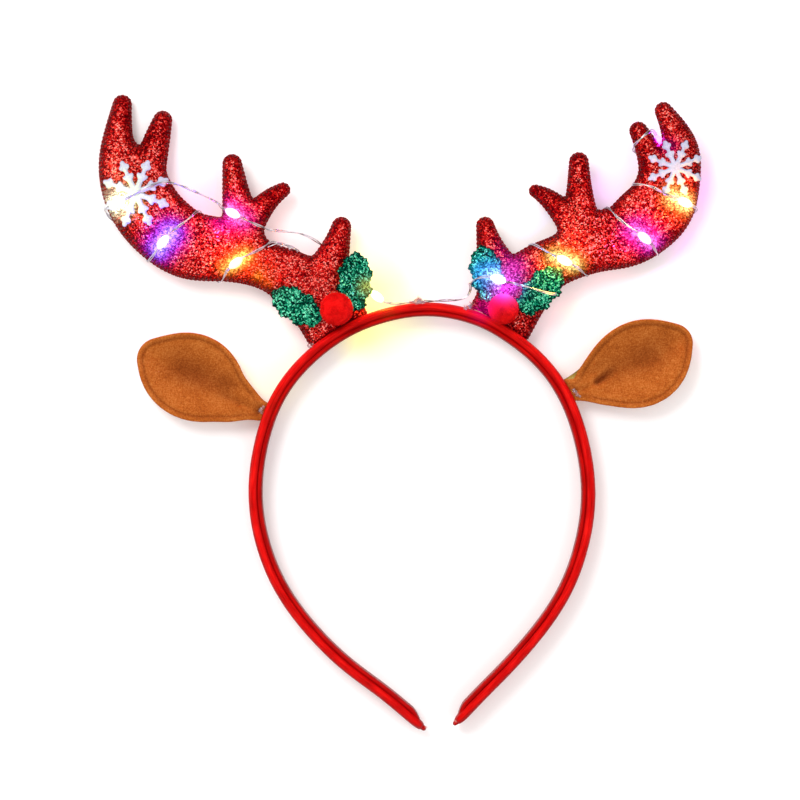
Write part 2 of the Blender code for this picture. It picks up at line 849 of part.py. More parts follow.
def make_leaves(group, surface):
    made = []
    for name, side, out, up, turn, size in LEAVES:
        flat = leaf_outline(LEAF_LENGTH * size, LEAF_WIDTH * size)
        spine = [(share * LEAF_LENGTH * size, 0.0) for share in (0.25, 0.5, 0.75)]
        points, faces = filled(flat, spine)
        fold = LEAF_FOLD * np.abs(points[:, 1])
        angle = math.radians(turn)
        spin = np.array([[math.cos(angle), math.sin(angle)], [-math.sin(angle), math.cos(angle)]])
        points = points @ spin + antler_point(side, out, up)
        bottom = laid_flat(points, surface) + fold
        body = slab(points, faces, len(flat), bottom, bottom + LEAF_THICKNESS)
        made.append(mesh_object(name, body, ((0.0, 0.12, 0.06), 0.4, 0.3), group))
    return made


def make_pompoms(group, surface):
    """Round heads whose locks stand out in all directions, each sitting in the fork of its leaves."""
    made = []
    for name, side, out, up, size in POMPOMS:
        radius = POMPOM_RADIUS * size
        reach = radius * (1 + POMPOM_LOCK)
        x, y = antler_point(side, out, up)
        height = 0.0
        for ring in np.linspace(0, 0.96, 9) * reach:
            for turn in range(0, 360, 30):
                angle = math.radians(turn)
                under = surface.top(x + ring * math.cos(angle), y + ring * math.sin(angle))
                drop = POMPOM_SQUASH * math.sqrt(reach**2 - ring**2)
                height = max(height, under + GAP + drop)
        shape = bmesh.new()
        bmesh.ops.create_icosphere(shape, subdivisions=3, radius=radius)
        locks = bmesh.new()
        bmesh.ops.create_icosphere(locks, subdivisions=2, radius=radius)
        tips = [v.co.normalized() for v in locks.verts]
        locks.free()
        for vert in shape.verts:
            if any(vert.co.normalized().dot(tip) > 0.999 for tip in tips):
                vert.co *= 1 + POMPOM_LOCK
        squash = Matrix.Diagonal((1, 1, POMPOM_SQUASH, 1))
        shape.transform(Matrix.Translation((x, y, height)) @ squash)
        made.append(mesh_object(name, shape, ((0.62, 0.008, 0.01), 0.95), group))
    return made


# String of lights
# Which face a point lies on, small enough not to count as a length in the spline
SIDE_MARK = 1e-6
SIDES = {"front": SIDE_MARK, "back": -SIDE_MARK, "edge": 0.0, "free": 0.0}


def pushed_clear(path, clear, lies, surface):
    """The path with each point moved off the solids, to its own side of them, until it is clear."""
    out = path.copy()
    for i, point in enumerate(path):
        at = Vector(point)
        side = int(lies[i] > 0.3 * SIDE_MARK) - int(lies[i] < -0.3 * SIDE_MARK)
        face = surface.face(at.x, at.y, side) if side else None
        if face and side * (at.z - face.z) < clear[i]:
            at.z = face.z + side * clear[i]
        spot, normal, _, distance = surface.tree.find_nearest(at)
        away = at - spot
        inside = away.dot(normal) < 0
        if inside or distance < clear[i]:
            direction = normal if inside or distance < 1e-7 else away.normalized()
            at = spot + direction * clear[i]
        out[i] = at
    return out


def wound_path(route, side, carriers, surface):
    """(path, indices of the drops' middles) of the string over the antler's front, back and edges."""
    rise = WIRE_DIAMETER / 2 + GAP
    points = []
    for out, up, lies, _ in route:
        x, y = antler_point(side, out, up)
        top, bottom = carriers.top(x, y), carriers.bottom(x, y)
        level = {
            "front": surface.top(x, y) + rise,
            "back": bottom - rise,
            "edge": (top + bottom) / 2,
            "free": FREE_HEIGHT,
        }[lies]
        points.append((x, y, level, SIDES[lies]))
    path = smooth_path(points, 0.0007)
    lies = path[:, 3]
    centres = []
    for point, row in zip(points, route):
        if row[3]:
            centres.append(int(np.linalg.norm(path - point, axis=1).argmin()))
    path = path[:, :3]
    at = path_lengths(path)
    near = np.min([np.abs(at - at[centre]) for centre in centres], axis=0)
    reach = DROP_LENGTH / 2
    nearness = np.clip(1 - (near - reach) / (1.5 * reach), 0, 1)
    clear = rise + WIRE_TOLERANCE / 2 + (DROP_DIAMETER / 2 + GAP + DROP_SAG - rise) * nearness
    for turn in range(12):
        if turn:
            inner = path[1:-1] * 0.5 + (path[:-2] + path[2:]) * 0.25
            path = np.concatenate([path[:1], inner, path[-1:]])
        path = pushed_clear(path, clear, lies, surface)
        path[:, 2] = np.maximum(path[:, 2], WIRE_DIAMETER / 2 + 0.0001)
    return path, centres


def straightened(path, centres):
    """The path with a straight run through each drop, and each drop's middle and direction."""
    at = path_lengths(path)
    reach = DROP_LENGTH / 2 + 0.0004
    places = []
    for centre in centres:
        first = int(np.searchsorted(at, at[centre] - reach))
        last = min(int(np.searchsorted(at, at[centre] + reach)), len(path) - 1)
        share = np.linspace(0, 1, last - first + 1)[:, None]
        path[first : last + 1] = path[first] * (1 - share) + path[last] * share
        places.append(((path[first] + path[last]) / 2, path[last] - path[first]))
    return path, places


def make_wire(name, path, group):
    data = bpy.data.curves.new(name, "CURVE")
    data.dimensions = "3D"
    data.bevel_depth = WIRE_DIAMETER / 2
    data.bevel_resolution = 2
    data.use_fill_caps = True
    line = data.splines.new("POLY")
    line.points.add(len(path) - 1)
    for point, place in zip(line.points, path):
        point.co = (*place, 1)
    return placed(name, data, ((0.75, 0.75, 0.78), 0.25, 1.0), group)


def make_drop(name, middle, direction, color, group):
    """A clear drop of resin, slimmer at both ends, with a channel along it for the wire."""
    radius, half, bore = DROP_DIAMETER / 2, DROP_LENGTH / 2, WIRE_DIAMETER / 2 + GAP
    outside = [(out * radius, along * half) for out, along in DROP_PROFILE]
    shape = bmesh.new()
    ring = [shape.verts.new((r, 0, z)) for r, z in [(bore, half), *outside, (bore, -half)]]
    for a, b in zip(ring, ring[1:] + ring[:1]):
        shape.edges.new((a, b))
    mesh = bpy.data.meshes.new(name)
    shape.to_mesh(mesh)
    shape.free()
    drop = placed(name, mesh, (color, 0.2), group)
    turn = drop.modifiers.new("turn", "SCREW")
    turn.steps = turn.render_steps = 8
    turn.use_merge_vertices = True
    turn.merge_threshold = 0.00001
    drop.location = middle
    drop.rotation_mode = "QUATERNION"
    drop.rotation_quaternion = Vector(direction).to_track_quat("Z", "Y")
    return drop


DROP_COLORS = {
    "left": ((1.0, 0.9, 0.5), (1.0, 0.2, 0.9), (1.0, 0.95, 0.7), (0.6, 0.5, 1.0), (1.0, 0.8, 0.2)),
    "right": ((0.5, 0.7, 1.0), (1.0, 0.9, 0.5), (1.0, 0.2, 0.9), (1.0, 0.8, 0.3), (0.6, 0.3, 1.0)),
}


def make_lights(group, carriers, surface):
    for side, route in (("left", LEFT_ROUTE), ("right", RIGHT_ROUTE)):
        path, centres = wound_path(route, side, carriers, surface)
        path, places = straightened(path, centres)
        make_wire(f"{side}_light_wire", simplified(path, WIRE_TOLERANCE), group)
        for number, ((middle, direction), color) in enumerate(zip(places, DROP_COLORS[side]), 1):
            make_drop(f"{side}_light_drop_{number}", middle, direction, color, group)


def main():
    group, guides = cleared_collections()
    band = make_hairband(group, guides)
    antlers = make_antlers(group)
    make_ears(group)
    bpy.context.view_layer.update()
    carriers = Surface(antlers.values())
    snowflakes = make_snowflakes(group, carriers)
    leaves = make_leaves(group, carriers)
    bpy.context.view_layer.update()
    pompoms = make_pompoms(group, Surface([*antlers.values(), *leaves]))
    bpy.context.view_layer.update()
    everything = Surface([*band, *antlers.values(), *snowflakes, *leaves, *pompoms])
    make_lights(group, carriers, everything)
    bpy.context.view_layer.update()


main()
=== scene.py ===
"""The look of the reindeer antler headband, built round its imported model."""

import math

import bmesh
import bpy
import numpy as np
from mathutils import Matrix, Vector, noise
from mathutils.bvhtree import BVHTree
from mathutils.geometry import delaunay_2d_cdt


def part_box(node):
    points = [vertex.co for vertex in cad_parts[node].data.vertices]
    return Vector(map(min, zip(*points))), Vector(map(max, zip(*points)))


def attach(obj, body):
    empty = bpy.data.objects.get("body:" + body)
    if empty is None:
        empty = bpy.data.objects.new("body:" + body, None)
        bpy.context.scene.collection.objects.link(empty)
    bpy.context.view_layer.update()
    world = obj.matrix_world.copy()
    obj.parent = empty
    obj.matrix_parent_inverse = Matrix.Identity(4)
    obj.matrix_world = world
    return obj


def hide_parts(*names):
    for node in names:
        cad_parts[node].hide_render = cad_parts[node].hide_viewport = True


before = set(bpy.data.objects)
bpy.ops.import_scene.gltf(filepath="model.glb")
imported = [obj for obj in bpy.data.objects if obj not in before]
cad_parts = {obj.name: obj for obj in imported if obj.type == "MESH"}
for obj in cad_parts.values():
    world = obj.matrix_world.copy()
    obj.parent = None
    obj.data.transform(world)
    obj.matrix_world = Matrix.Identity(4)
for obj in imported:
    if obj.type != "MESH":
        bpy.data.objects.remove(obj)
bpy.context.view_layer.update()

# The photograph's scale and place: metres for each pixel, and where the camera looks
PIXEL = 0.00036
VIEW_CENTRE = (-0.0097, -0.0333)
VIEW_SIZE = 800 * PIXEL
CAMERA_HEIGHT = 1.2
SENSOR = 36.0

# Sizes shared with the solids
GAP = 0.0003
FLOOR_GAP = 0.0003
HOOP_HALF_WIDTH = 0.060
HOOP_HEIGHT = 0.150
BAND_WIDTH = 0.010
BAND_THICKNESS = 0.0030
LINING_WIDTH = 0.0084
LINING_THICKNESS = 0.0012
LINING_INSET = 0.005
STRAP_THICKNESS = BAND_THICKNESS + GAP + LINING_THICKNESS
TIP_LENGTH = 0.006
TIP_SHARE = 0.45
ANTLER_LENGTH = 0.1145
BEAM_WIDTH = 0.0238
PAD_THICKNESS = 0.012
PAD_FULLNESS = 0.0024
SEWN_EDGE = 0.0012
CROTCH_BLEND = 0.0008
EAR_LENGTH = 0.0475
EAR_WIDTH = 0.0317
EAR_THICKNESS = 0.0032
EAR_CUP = 0.0045
SNOWFLAKE_RADIUS = 0.0125
SNOWFLAKE_THICKNESS = 0.0010
LEAF_LENGTH = 0.0200
LEAF_WIDTH = 0.0115
LEAF_THICKNESS = 0.0010
LEAF_FOLD = 0.12
POMPOM_RADIUS = 0.0058
POMPOM_SQUASH = 0.82
WIRE_DIAMETER = 0.0007
DROP_LENGTH = 0.0060
DROP_DIAMETER = 0.0030
DROP_SAG = 0.0005
FREE_HEIGHT = 0.0096
WIRE_TOLERANCE = 0.00018
WIRE_REST = 0.0001
RIM_STEP = 0.0005
RIM_TOLERANCE = 0.00003
LAMP_RISE = 0.0016
TABLE_LEVEL = -0.00002
FIBRES = 8000

# Centre line of the hoop from tip to tip.
# out: share of HOOP_HALF_WIDTH, down: share of HOOP_HEIGHT
HOOP = (
    (-0.018, 1.000), (-0.270, 0.916), (-0.513, 0.841), (-0.831, 0.697), (-0.990, 0.553),
    (-1.026, 0.409), (-0.915, 0.229), (-0.717, 0.121), (-0.516, 0.059), (-0.312, 0.022),
    (0.000, 0.000), (0.300, 0.022), (0.474, 0.058), (0.669, 0.120), (0.855, 0.229),
    (0.966, 0.409), (0.936, 0.553), (0.798, 0.697), (0.522, 0.841), (0.340, 0.916),
    (0.168, 0.988),
)

# Where things sit along the hoop, as shares of its length from the left tip
LEFT_ANTLER_SEAT = 0.435
RIGHT_ANTLER_SEAT = 0.583
LEFT_EAR_SEAT = 0.338
RIGHT_EAR_SEAT = 0.665

# Limbs of each antler from its seat.
# out and up: shares of ANTLER_LENGTH, width: of BEAM_WIDTH, lift above the table: of PAD_THICKNESS
LEFT_ANTLER = {
    "beam": (
        (0.002, 0.000, 0.99, 0.42), (0.063, 0.088, 0.94, 0.50), (0.154, 0.162, 0.79, 0.62),
        (0.239, 0.201, 0.70, 0.66), (0.365, 0.245, 0.91, 0.66), (0.465, 0.261, 1.00, 0.64),
        (0.544, 0.308, 1.03, 0.62), (0.607, 0.377, 1.03, 0.60), (0.650, 0.459, 0.95, 0.56),
        (0.693, 0.553, 0.57, 0.46), (0.695, 0.635, 0.375, 0.36), (0.685, 0.709, 0.265, 0.29),
    ),
    "inner_tine": (
        (0.604, 0.465, 0.47, 0.56), (0.580, 0.575, 0.40, 0.45), (0.557, 0.658, 0.265, 0.36),
    ),
    "middle_tine": (
        (0.299, 0.277, 0.61, 0.66), (0.324, 0.428, 0.39, 0.62), (0.336, 0.519, 0.27, 0.56),
    ),
    "side_tine": (
        (0.308, 0.289, 0.48, 0.66), (0.226, 0.399, 0.30, 0.60), (0.176, 0.437, 0.20, 0.56),
    ),
    "lowest_tine": (
        (0.063, 0.111, 0.79, 0.52), (0.008, 0.260, 0.39, 0.62), (-0.008, 0.321, 0.27, 0.60),
    ),
}
RIGHT_ANTLER = {
    "beam": (
        (-0.016, 0.000, 1.00, 0.42), (0.042, 0.094, 0.94, 0.50), (0.119, 0.173, 0.79, 0.62),
        (0.198, 0.214, 0.73, 0.66), (0.301, 0.261, 0.88, 0.62), (0.385, 0.282, 0.94, 0.50),
        (0.447, 0.326, 1.03, 0.52), (0.495, 0.375, 1.01, 0.60), (0.523, 0.447, 0.90, 0.72),
        (0.553, 0.538, 0.58, 0.95), (0.535, 0.610, 0.38, 1.15), (0.500, 0.668, 0.24, 1.35),
    ),
    "inner_tine": (
        (0.478, 0.478, 0.43, 0.76), (0.450, 0.557, 0.33, 0.95), (0.423, 0.607, 0.25, 1.10),
    ),
    "middle_tine": (
        (0.248, 0.280, 0.61, 0.66), (0.241, 0.421, 0.37, 0.66), (0.239, 0.513, 0.27, 0.66),
    ),
    "side_tine": (
        (0.238, 0.291, 0.45, 0.66), (0.150, 0.392, 0.28, 0.62), (0.102, 0.422, 0.17, 0.58),
    ),
    "lowest_tine": (
        (0.009, 0.107, 0.82, 0.52), (-0.040, 0.245, 0.39, 0.60), (-0.056, 0.312, 0.25, 0.60),
    ),
}

# Spine of each ear from its seat.
# out and up: shares of EAR_LENGTH, width: of EAR_WIDTH, lift: of BAND_WIDTH
LEFT_EAR = (
    (-0.026, -0.008, 0.20, 0.50), (0.065, 0.023, 0.26, 0.48), (0.164, 0.068, 0.39, 0.44),
    (0.277, 0.114, 0.57, 0.40), (0.398, 0.182, 0.77, 0.36), (0.527, 0.258, 0.98, 0.34),
    (0.641, 0.303, 0.89, 0.36), (0.806, 0.398, 0.50, 0.42),
)
RIGHT_EAR = (
    (-0.010, -0.004, 0.25, 0.50), (0.092, 0.004, 0.27, 0.48), (0.176, 0.042, 0.41, 0.44),
    (0.282, 0.087, 0.61, 0.40), (0.403, 0.140, 0.82, 0.36), (0.539, 0.193, 0.98, 0.34),
    (0.640, 0.246, 0.86, 0.36), (0.797, 0.352, 0.45, 0.42),
)

# Snowflake arms all round
SNOWFLAKE_ARMS = 8

# Half of the holly leaf's edge, from its stalk to its tip.
# along: share of LEAF_LENGTH, side: share of LEAF_WIDTH
LEAF_EDGE = (
    (0.02, 0.14), (0.09, 0.38), (0.18, 0.30), (0.28, 0.42), (0.36, 0.54), (0.44, 0.42),
    (0.55, 0.44), (0.66, 0.52), (0.73, 0.36), (0.86, 0.34), (0.90, 0.18),
)

# Trim on each antler, from the antler's seat in shares of ANTLER_LENGTH.
# turn: degrees, size: share of the named size
SNOWFLAKES = (
    ("left_snowflake", "left", 0.636, 0.423, 2, 1.02),
    ("right_snowflake", "right", 0.538, 0.490, 0, 0.84),
)
LEAVES = (
    ("left_outer_leaf", "left", 0.055, 0.024, 150, 1.05),
    ("left_inner_leaf", "left", -0.046, 0.053, 87, 1.10),
    ("right_inner_leaf", "right", -0.036, 0.073, 101, 1.05),
    ("right_outer_leaf", "right", 0.056, 0.040, 47, 1.08),
)
POMPOMS = (
    ("left_pompom", "left", 0.006, 0.059, 1.00),
    ("right_pompom", "right", -0.001, 0.048, 0.92),
)

# Route of the string on each antler, from the antler's seat in shares of ANTLER_LENGTH.
# Then F, B, E or N: on the front, the back, level with the sewn edge, or free, and * at a light
LEFT_ROUTE = (
    (-0.241, 0.084, "E"), (-0.206, 0.076, "E"), (-0.150, 0.078, "E"), (-0.118, 0.090, "E*"),
    (-0.095, 0.125, "E"), (-0.060, 0.145, "B"), (-0.010, 0.190, "B"), (0.025, 0.235, "B"),
    (0.060, 0.268, "E"), (0.110, 0.295, "N"), (0.170, 0.305, "N"), (0.226, 0.312, "E"),
    (0.270, 0.330, "F"), (0.333, 0.360, "F*"), (0.375, 0.392, "E"), (0.435, 0.422, "N"),
    (0.500, 0.450, "N"), (0.550, 0.458, "F"), (0.590, 0.445, "F"), (0.645, 0.415, "F"),
    (0.695, 0.390, "F*"), (0.738, 0.368, "E"), (0.672, 0.312, "B"), (0.618, 0.256, "B"),
    (0.595, 0.218, "E"), (0.552, 0.268, "F*"), (0.500, 0.320, "F"), (0.462, 0.350, "F"),
    (0.436, 0.368, "E"), (0.425, 0.300, "B"), (0.400, 0.200, "B"), (0.378, 0.142, "E"),
    (0.350, 0.180, "F"), (0.328, 0.206, "F*"), (0.285, 0.228, "F"), (0.245, 0.248, "F"),
    (0.205, 0.268, "E"), (0.165, 0.262, "N"), (0.128, 0.240, "E"), (0.120, 0.205, "B"),
)
RIGHT_ROUTE = (
    (-0.248, 0.070, "E"), (-0.180, 0.078, "E"), (-0.122, 0.082, "E"), (-0.102, 0.106, "E"),
    (-0.095, 0.140, "F"), (-0.020, 0.149, "F*"), (0.022, 0.132, "F"), (0.075, 0.117, "F"),
    (0.125, 0.102, "F"), (0.150, 0.096, "F"), (0.170, 0.101, "E"), (0.155, 0.150, "B"),
    (0.110, 0.210, "B"), (0.082, 0.256, "E"), (0.130, 0.232, "F"), (0.189, 0.201, "F*"),
    (0.232, 0.178, "F"), (0.264, 0.162, "E"), (0.290, 0.230, "B"), (0.315, 0.320, "B"),
    (0.322, 0.372, "E"), (0.365, 0.330, "F"), (0.443, 0.274, "F*"), (0.475, 0.238, "F"),
    (0.489, 0.224, "E"), (0.512, 0.284, "B"), (0.556, 0.330, "B"), (0.606, 0.358, "E"),
    (0.570, 0.383, "F*"), (0.500, 0.412, "F"), (0.440, 0.440, "F"), (0.405, 0.441, "E"),
    (0.442, 0.478, "B"), (0.446, 0.522, "B"), (0.408, 0.548, "E"), (0.430, 0.582, "F"),
    (0.460, 0.603, "F"), (0.484, 0.590, "E"), (0.492, 0.575, "E*"), (0.505, 0.550, "B"),
)


# Curves
def smooth_path(points, step):
    """Points about a step apart on the natural cubic spline through the given points."""
    points = np.asarray(points, float)
    chord = np.linalg.norm(np.diff(points, axis=0), axis=1)
    at = np.concatenate([[0.0], np.cumsum(np.sqrt(chord))])
    gaps = np.diff(at)
    count = len(points)
    system = np.eye(count)
    right = np.zeros_like(points)
    for i in range(1, count - 1):
        system[i, i - 1 : i + 2] = gaps[i - 1], 2 * (gaps[i - 1] + gaps[i]), gaps[i]
        slopes = (points[i + 1] - points[i]) / gaps[i] - (points[i] - points[i - 1]) / gaps[i - 1]
        right[i] = 6 * slopes
    bend = np.linalg.solve(system, right)
    fine = []
    for i in range(count - 1):
        pieces = max(2, math.ceil(chord[i] / step))
        last = i == count - 2
        for t in np.linspace(0, 1, pieces + 1)[: None if last else -1]:
            a, b = (1 - t), t
            curve = gaps[i] ** 2 / 6 * ((a**3 - a) * bend[i] + (b**3 - b) * bend[i + 1])
            fine.append(a * points[i] + b * points[i + 1] + curve)
    return np.array(fine)


def path_lengths(path):
    """How far along the path each of its points lies."""
    return np.concatenate([[0.0], np.cumsum(np.linalg.norm(np.diff(path, axis=0), axis=1))])


def resampled(path, count):
    """The path as points an equal distance apart."""
    at = path_lengths(path)
    even = np.linspace(0, at[-1], count)
    return np.column_stack([np.interp(even, at, column) for column in path.T])


def unit_rows(vectors):
    """The vectors, each made one long."""
    return vectors / np.linalg.norm(vectors, axis=1)[:, None]


def outward_normals(path):
    """Unit normals of the hoop's centre line in its plane, pointing away from the head."""
    along = unit_rows(np.gradient(path, axis=0))
    return np.column_stack([-along[:, 1], along[:, 0]])


def simplified(loop, tolerance):
    """The loop or path with the points left out that lie within a tolerance of a straight line."""

    def keep(first, last):
        if last - first < 2:
            return []
        a, b = loop[first], loop[last]
        middle = loop[first + 1 : last]
        span = b - a
        length = np.linalg.norm(span)
        if length < 1e-9:
            away = np.linalg.norm(middle - a, axis=1)
        else:
            share = np.clip((middle - a) @ span / length**2, 0, 1)
            away = np.linalg.norm(middle - a - share[:, None] * span, axis=1)
        worst = int(away.argmax())
        if away[worst] <= tolerance:
            return []
        split = first + 1 + worst
        return keep(first, split) + [split] + keep(split, last)

    last = len(loop) - 1
    return loop[[0] + keep(0, last) + [last]]


# The hoop's centre line, which everything else sits on. It passes through the middle of the
# lining and the band together, and lies so that the band's own middle meets the origin.
HOOP_PATH = resampled(
    smooth_path([(out * HOOP_HALF_WIDTH, -down * HOOP_HEIGHT) for out, down in HOOP], 0.001), 400
) - (0.0, (STRAP_THICKNESS - BAND_THICKNESS) / 2)
HOOP_NORMALS = outward_normals(HOOP_PATH)


def hoop_seat(share):
    """The point of the band's outer face at a share of the hoop's length."""
    at = round(share * (len(HOOP_PATH) - 1))
    return HOOP_PATH[at] + HOOP_NORMALS[at] * STRAP_THICKNESS / 2


def outside_hoop(points):
    """How far each point lies outside the hoop's centre line, negative inside it."""
    apart = points[:, None, :] - HOOP_PATH[None, ::4, :]
    distance = np.linalg.norm(apart, axis=2)
    nearest = distance.argmin(axis=1)
    rows = np.arange(len(points))
    side = np.einsum("ij,ij->i", apart[rows, nearest], HOOP_NORMALS[::4][nearest])
    return np.where(side < 0, -distance[rows, nearest], side)


# Padded outlines
class Limbs:
    """A flat outline made of round-ended limbs that run together, cut off at the band."""

    def __init__(self, limbs, blend):
        # Each limb is rows of x, y, half width and lift along a smooth line.
        self.limbs = [smooth_path(rows, 0.0015) for rows in limbs]
        self.blend = blend

    def measure(self, points):
        """(distance outside the outline before the band's cut, local half width, lift)"""
        away, half, lift = [], [], []
        for limb in self.limbs:
            a, b = limb[:-1], limb[1:]
            span = (b - a)[:, :2]
            offset = points[:, None, :] - a[None, :, :2]
            share = np.clip((offset * span).sum(axis=2) / (span**2).sum(axis=1), 0, 1)
            near = a[None] + share[..., None] * (b - a)[None]
            distance = np.linalg.norm(points[:, None, :] - near[..., :2], axis=2) - near[..., 2]
            best = distance.argmin(axis=1)
            rows = np.arange(len(points))
            away.append(distance[rows, best])
            half.append(near[rows, best, 2])
            lift.append(near[rows, best, 3])
        away, half, lift = np.array(away), np.array(half), np.array(lift)
        least = away.min(axis=0)
        joined = least - self.blend * np.log(np.exp(-(away - least) / self.blend).sum(axis=0))
        weight = np.exp(-(away - least) / (4 * self.blend))
        weight /= weight.sum(axis=0)
        return joined, (weight * half).sum(axis=0), (weight * lift).sum(axis=0)

    def field(self, points):
        """Distance outside the outline, with the band and its gap cut away."""
        seat = STRAP_THICKNESS / 2 + GAP
        return np.maximum(self.measure(points)[0], seat - outside_hoop(points))

    def box(self):
        """Lowest and highest corner of the outline."""
        low = np.min([(limb[:, :2] - limb[:, 2:3]).min(axis=0) for limb in self.limbs], axis=0)
        high = np.max([(limb[:, :2] + limb[:, 2:3]).max(axis=0) for limb in self.limbs], axis=0)
        return low, high


def contour(shape, level, step, tolerance):
    """The longest closed line where the shape's field has the level, walked over a square grid."""
    low, high = shape.box()
    nx, ny = (np.ceil((high - low) / step).astype(int) + 5).tolist()
    xs = low[0] + (np.arange(nx) - 2) * step
    ys = low[1] + (np.arange(ny) - 2) * step
    grid = np.stack(np.meshgrid(xs, ys, indexing="ij"), axis=-1)
    values = shape.field(grid.reshape(-1, 2)).reshape(nx, ny) - level
    values[values == 0] = 1e-9
    inside = values < 0
    corners = ((0, 0), (1, 0), (1, 1), (0, 1))
    following = {}
    for i in range(nx - 1):
        for j in range(ny - 1):
            cell = [inside[i + a, j + b] for a, b in corners]
            if all(cell) or not any(cell):
                continue
            for k in range(4):
                # An edge that leaves the inside starts a piece of the line in this cell.
                if cell[k] and not cell[(k + 1) % 4]:
                    end = k
                    while not (not cell[end % 4] and cell[(end + 1) % 4]):
                        end += 1
                    keys = []
                    for edge in (k, end % 4):
                        two = (corners[edge % 4], corners[(edge + 1) % 4])
                        ends = [(i + a, j + b) for a, b in two]
                        keys.append(tuple(sorted(ends)))
                    following[keys[0]] = keys[1]
    loops = []
    while following:
        start, here = following.popitem()
        loop = [start, here]
        while here in following:
            here = following.pop(here)
            loop.append(here)
        loops.append(loop)
    longest = max(loops, key=len)
    line = []
    for a, b in longest[:-1]:
        share = values[a] / (values[a] - values[b])
        line.append(grid[a] * (1 - share) + grid[b] * share)
    line = np.array(line + line[:1])
    return simplified(line, tolerance)[:-1]


def filled(outline, inner):
    """(points, triangles) that fill the outline and use the inner points too."""
    count = len(outline)
    edges = [(i, (i + 1) % count) for i in range(count)]
    points = [Vector(p) for p in (*outline, *inner)]
    made, _, faces, *_ = delaunay_2d_cdt(points, edges, [], 1, 1e-7)
    if len(made) != len(points):
        raise ValueError("an outline crosses itself")
    return np.array([tuple(p) for p in made]), [tuple(face) for face in faces]


def hex_grid(low, high, spacing):
    """Points on a triangular grid over a box."""
    found = []
    row_step = spacing * math.sqrt(3) / 2
    for row in range(math.ceil((high[1] - low[1]) / row_step) + 1):
        shift = spacing / 2 * (row % 2)
        for column in range(math.ceil((high[0] - low[0]) / spacing) + 1):
            found.append((low[0] + shift + column * spacing, low[1] + row * row_step))
    return np.array(found)


def slab(points, faces, rim, bottom, top):
    """A closed mesh between two heights over flat triangles, with walls round the rim."""
    shape = bmesh.new()
    lower = [shape.verts.new((*p, z)) for p, z in zip(points, bottom)]
    upper = [shape.verts.new((*p, z)) for p, z in zip(points, top)]
    for a, b, c in faces:
        shape.faces.new((upper[a], upper[b], upper[c]))
        shape.faces.new((lower[c], lower[b], lower[a]))
    for i in range(rim):
        j = (i + 1) % rim
        shape.faces.new((lower[i], lower[j], upper[j], upper[i]))
    bmesh.ops.recalc_face_normals(shape, faces=shape.faces)
    return shape


def hoop_line(inset, cut, count):
    """The hoop's centre line moved towards the head and cut back at its tips, finer there."""
    line = HOOP_PATH - HOOP_NORMALS * inset
    at = path_lengths(line)
    ends = np.array([0.0, 0.12, 0.3, 0.6, 1.0]) * TIP_LENGTH
    middle = np.linspace(ends[-1], at[-1] - 2 * cut - ends[-1], count)[1:-1]
    stops = cut + np.concatenate([ends, middle, at[-1] - 2 * cut - ends[::-1]])
    return np.column_stack([np.interp(stops, at, column) for column in line.T])


def antler_limbs(table, seat, outward):
    x0, y0 = seat
    return [
        [
            (
                x0 + outward * out * ANTLER_LENGTH,
                y0 + up * ANTLER_LENGTH,
                width * BEAM_WIDTH / 2,
                lift * PAD_THICKNESS,
            )
            for out, up, width, lift in rows
        ]
        for rows in table.values()
    ]


def antler_heights(shape, points):
    """Lower and upper face of a stuffed antler, round across each limb, flatter near the table."""
    away, half, lift = shape.measure(points)
    across = np.clip(1 + away / half, 0, 1)
    fullest = np.sqrt(half * PAD_FULLNESS)
    fullest = np.minimum(fullest, (PAD_THICKNESS - SEWN_EDGE) / 2)
    fullest = np.minimum(fullest, lift - FLOOR_GAP - SEWN_EDGE / 2)
    swell = SEWN_EDGE / 2 + fullest * np.sqrt(1 - across**2)
    return lift - swell, lift + swell


def ear_heights(shape, points):
    """Lower and upper face of a felt ear, dished along its spine."""
    away, half, lift = shape.measure(points)
    across = np.clip(1 + away / half, 0, 1)
    middle = lift + EAR_CUP * across**2 * np.minimum(half / (EAR_WIDTH / 2), 1)
    felt = EAR_THICKNESS / 2 * (0.45 + 0.55 * np.sqrt(1 - across**4))
    return middle - felt, middle + felt


class Surface:
    """The solids that lighter pieces lie on."""

    def __init__(self, objects):
        graph = bpy.context.evaluated_depsgraph_get()
        joined = bmesh.new()
        for obj in objects:
            mesh = bpy.data.meshes.new_from_object(obj.evaluated_get(graph))
            mesh.transform(obj.matrix_world)
            joined.from_mesh(mesh)
            bpy.data.meshes.remove(mesh)
        self.tree = BVHTree.FromBMesh(joined)
        joined.free()

    def face(self, x, y, down):
        """The highest or lowest point of the solids at a place, or None beside them."""
        return self.tree.ray_cast(Vector((x, y, 1.0 * down)), Vector((0, 0, -down)))[0]

    def top(self, x, y):
        """Height of the highest face at a point, or of the nearest edge where there is none."""
        hit = self.face(x, y, 1) or self.tree.find_nearest(Vector((x, y, BAND_WIDTH)))[0]
        return hit.z

    def bottom(self, x, y):
        """Height of the lowest face at a point, or of the nearest edge where there is none."""
        hit = self.face(x, y, -1) or self.tree.find_nearest(Vector((x, y, 0.0)))[0]
        return hit.z

    def rest(self, x, y, reach):
        """The highest top within reach of a point, as a stiff sheet meets it."""
        ring = [math.radians(turn) for turn in range(0, 360, 45)]
        around = [(x + reach * math.cos(a), y + reach * math.sin(a)) for a in ring]
        return max(self.top(*spot) for spot in [(x, y), *around])


def on_table(across, down):
    """The place of a pixel of the photograph."""
    return ((across - 427) * PIXEL, (309.5 - down) * PIXEL - 0.00075)


def antler_point(side, out, up):
    """A place given in shares of the antler's length from its seat."""
    outward, share = (-1, LEFT_ANTLER_SEAT) if side == "left" else (1, RIGHT_ANTLER_SEAT)
    x0, y0 = hoop_seat(share)
    return np.array([x0 + outward * out * ANTLER_LENGTH, y0 + up * ANTLER_LENGTH])


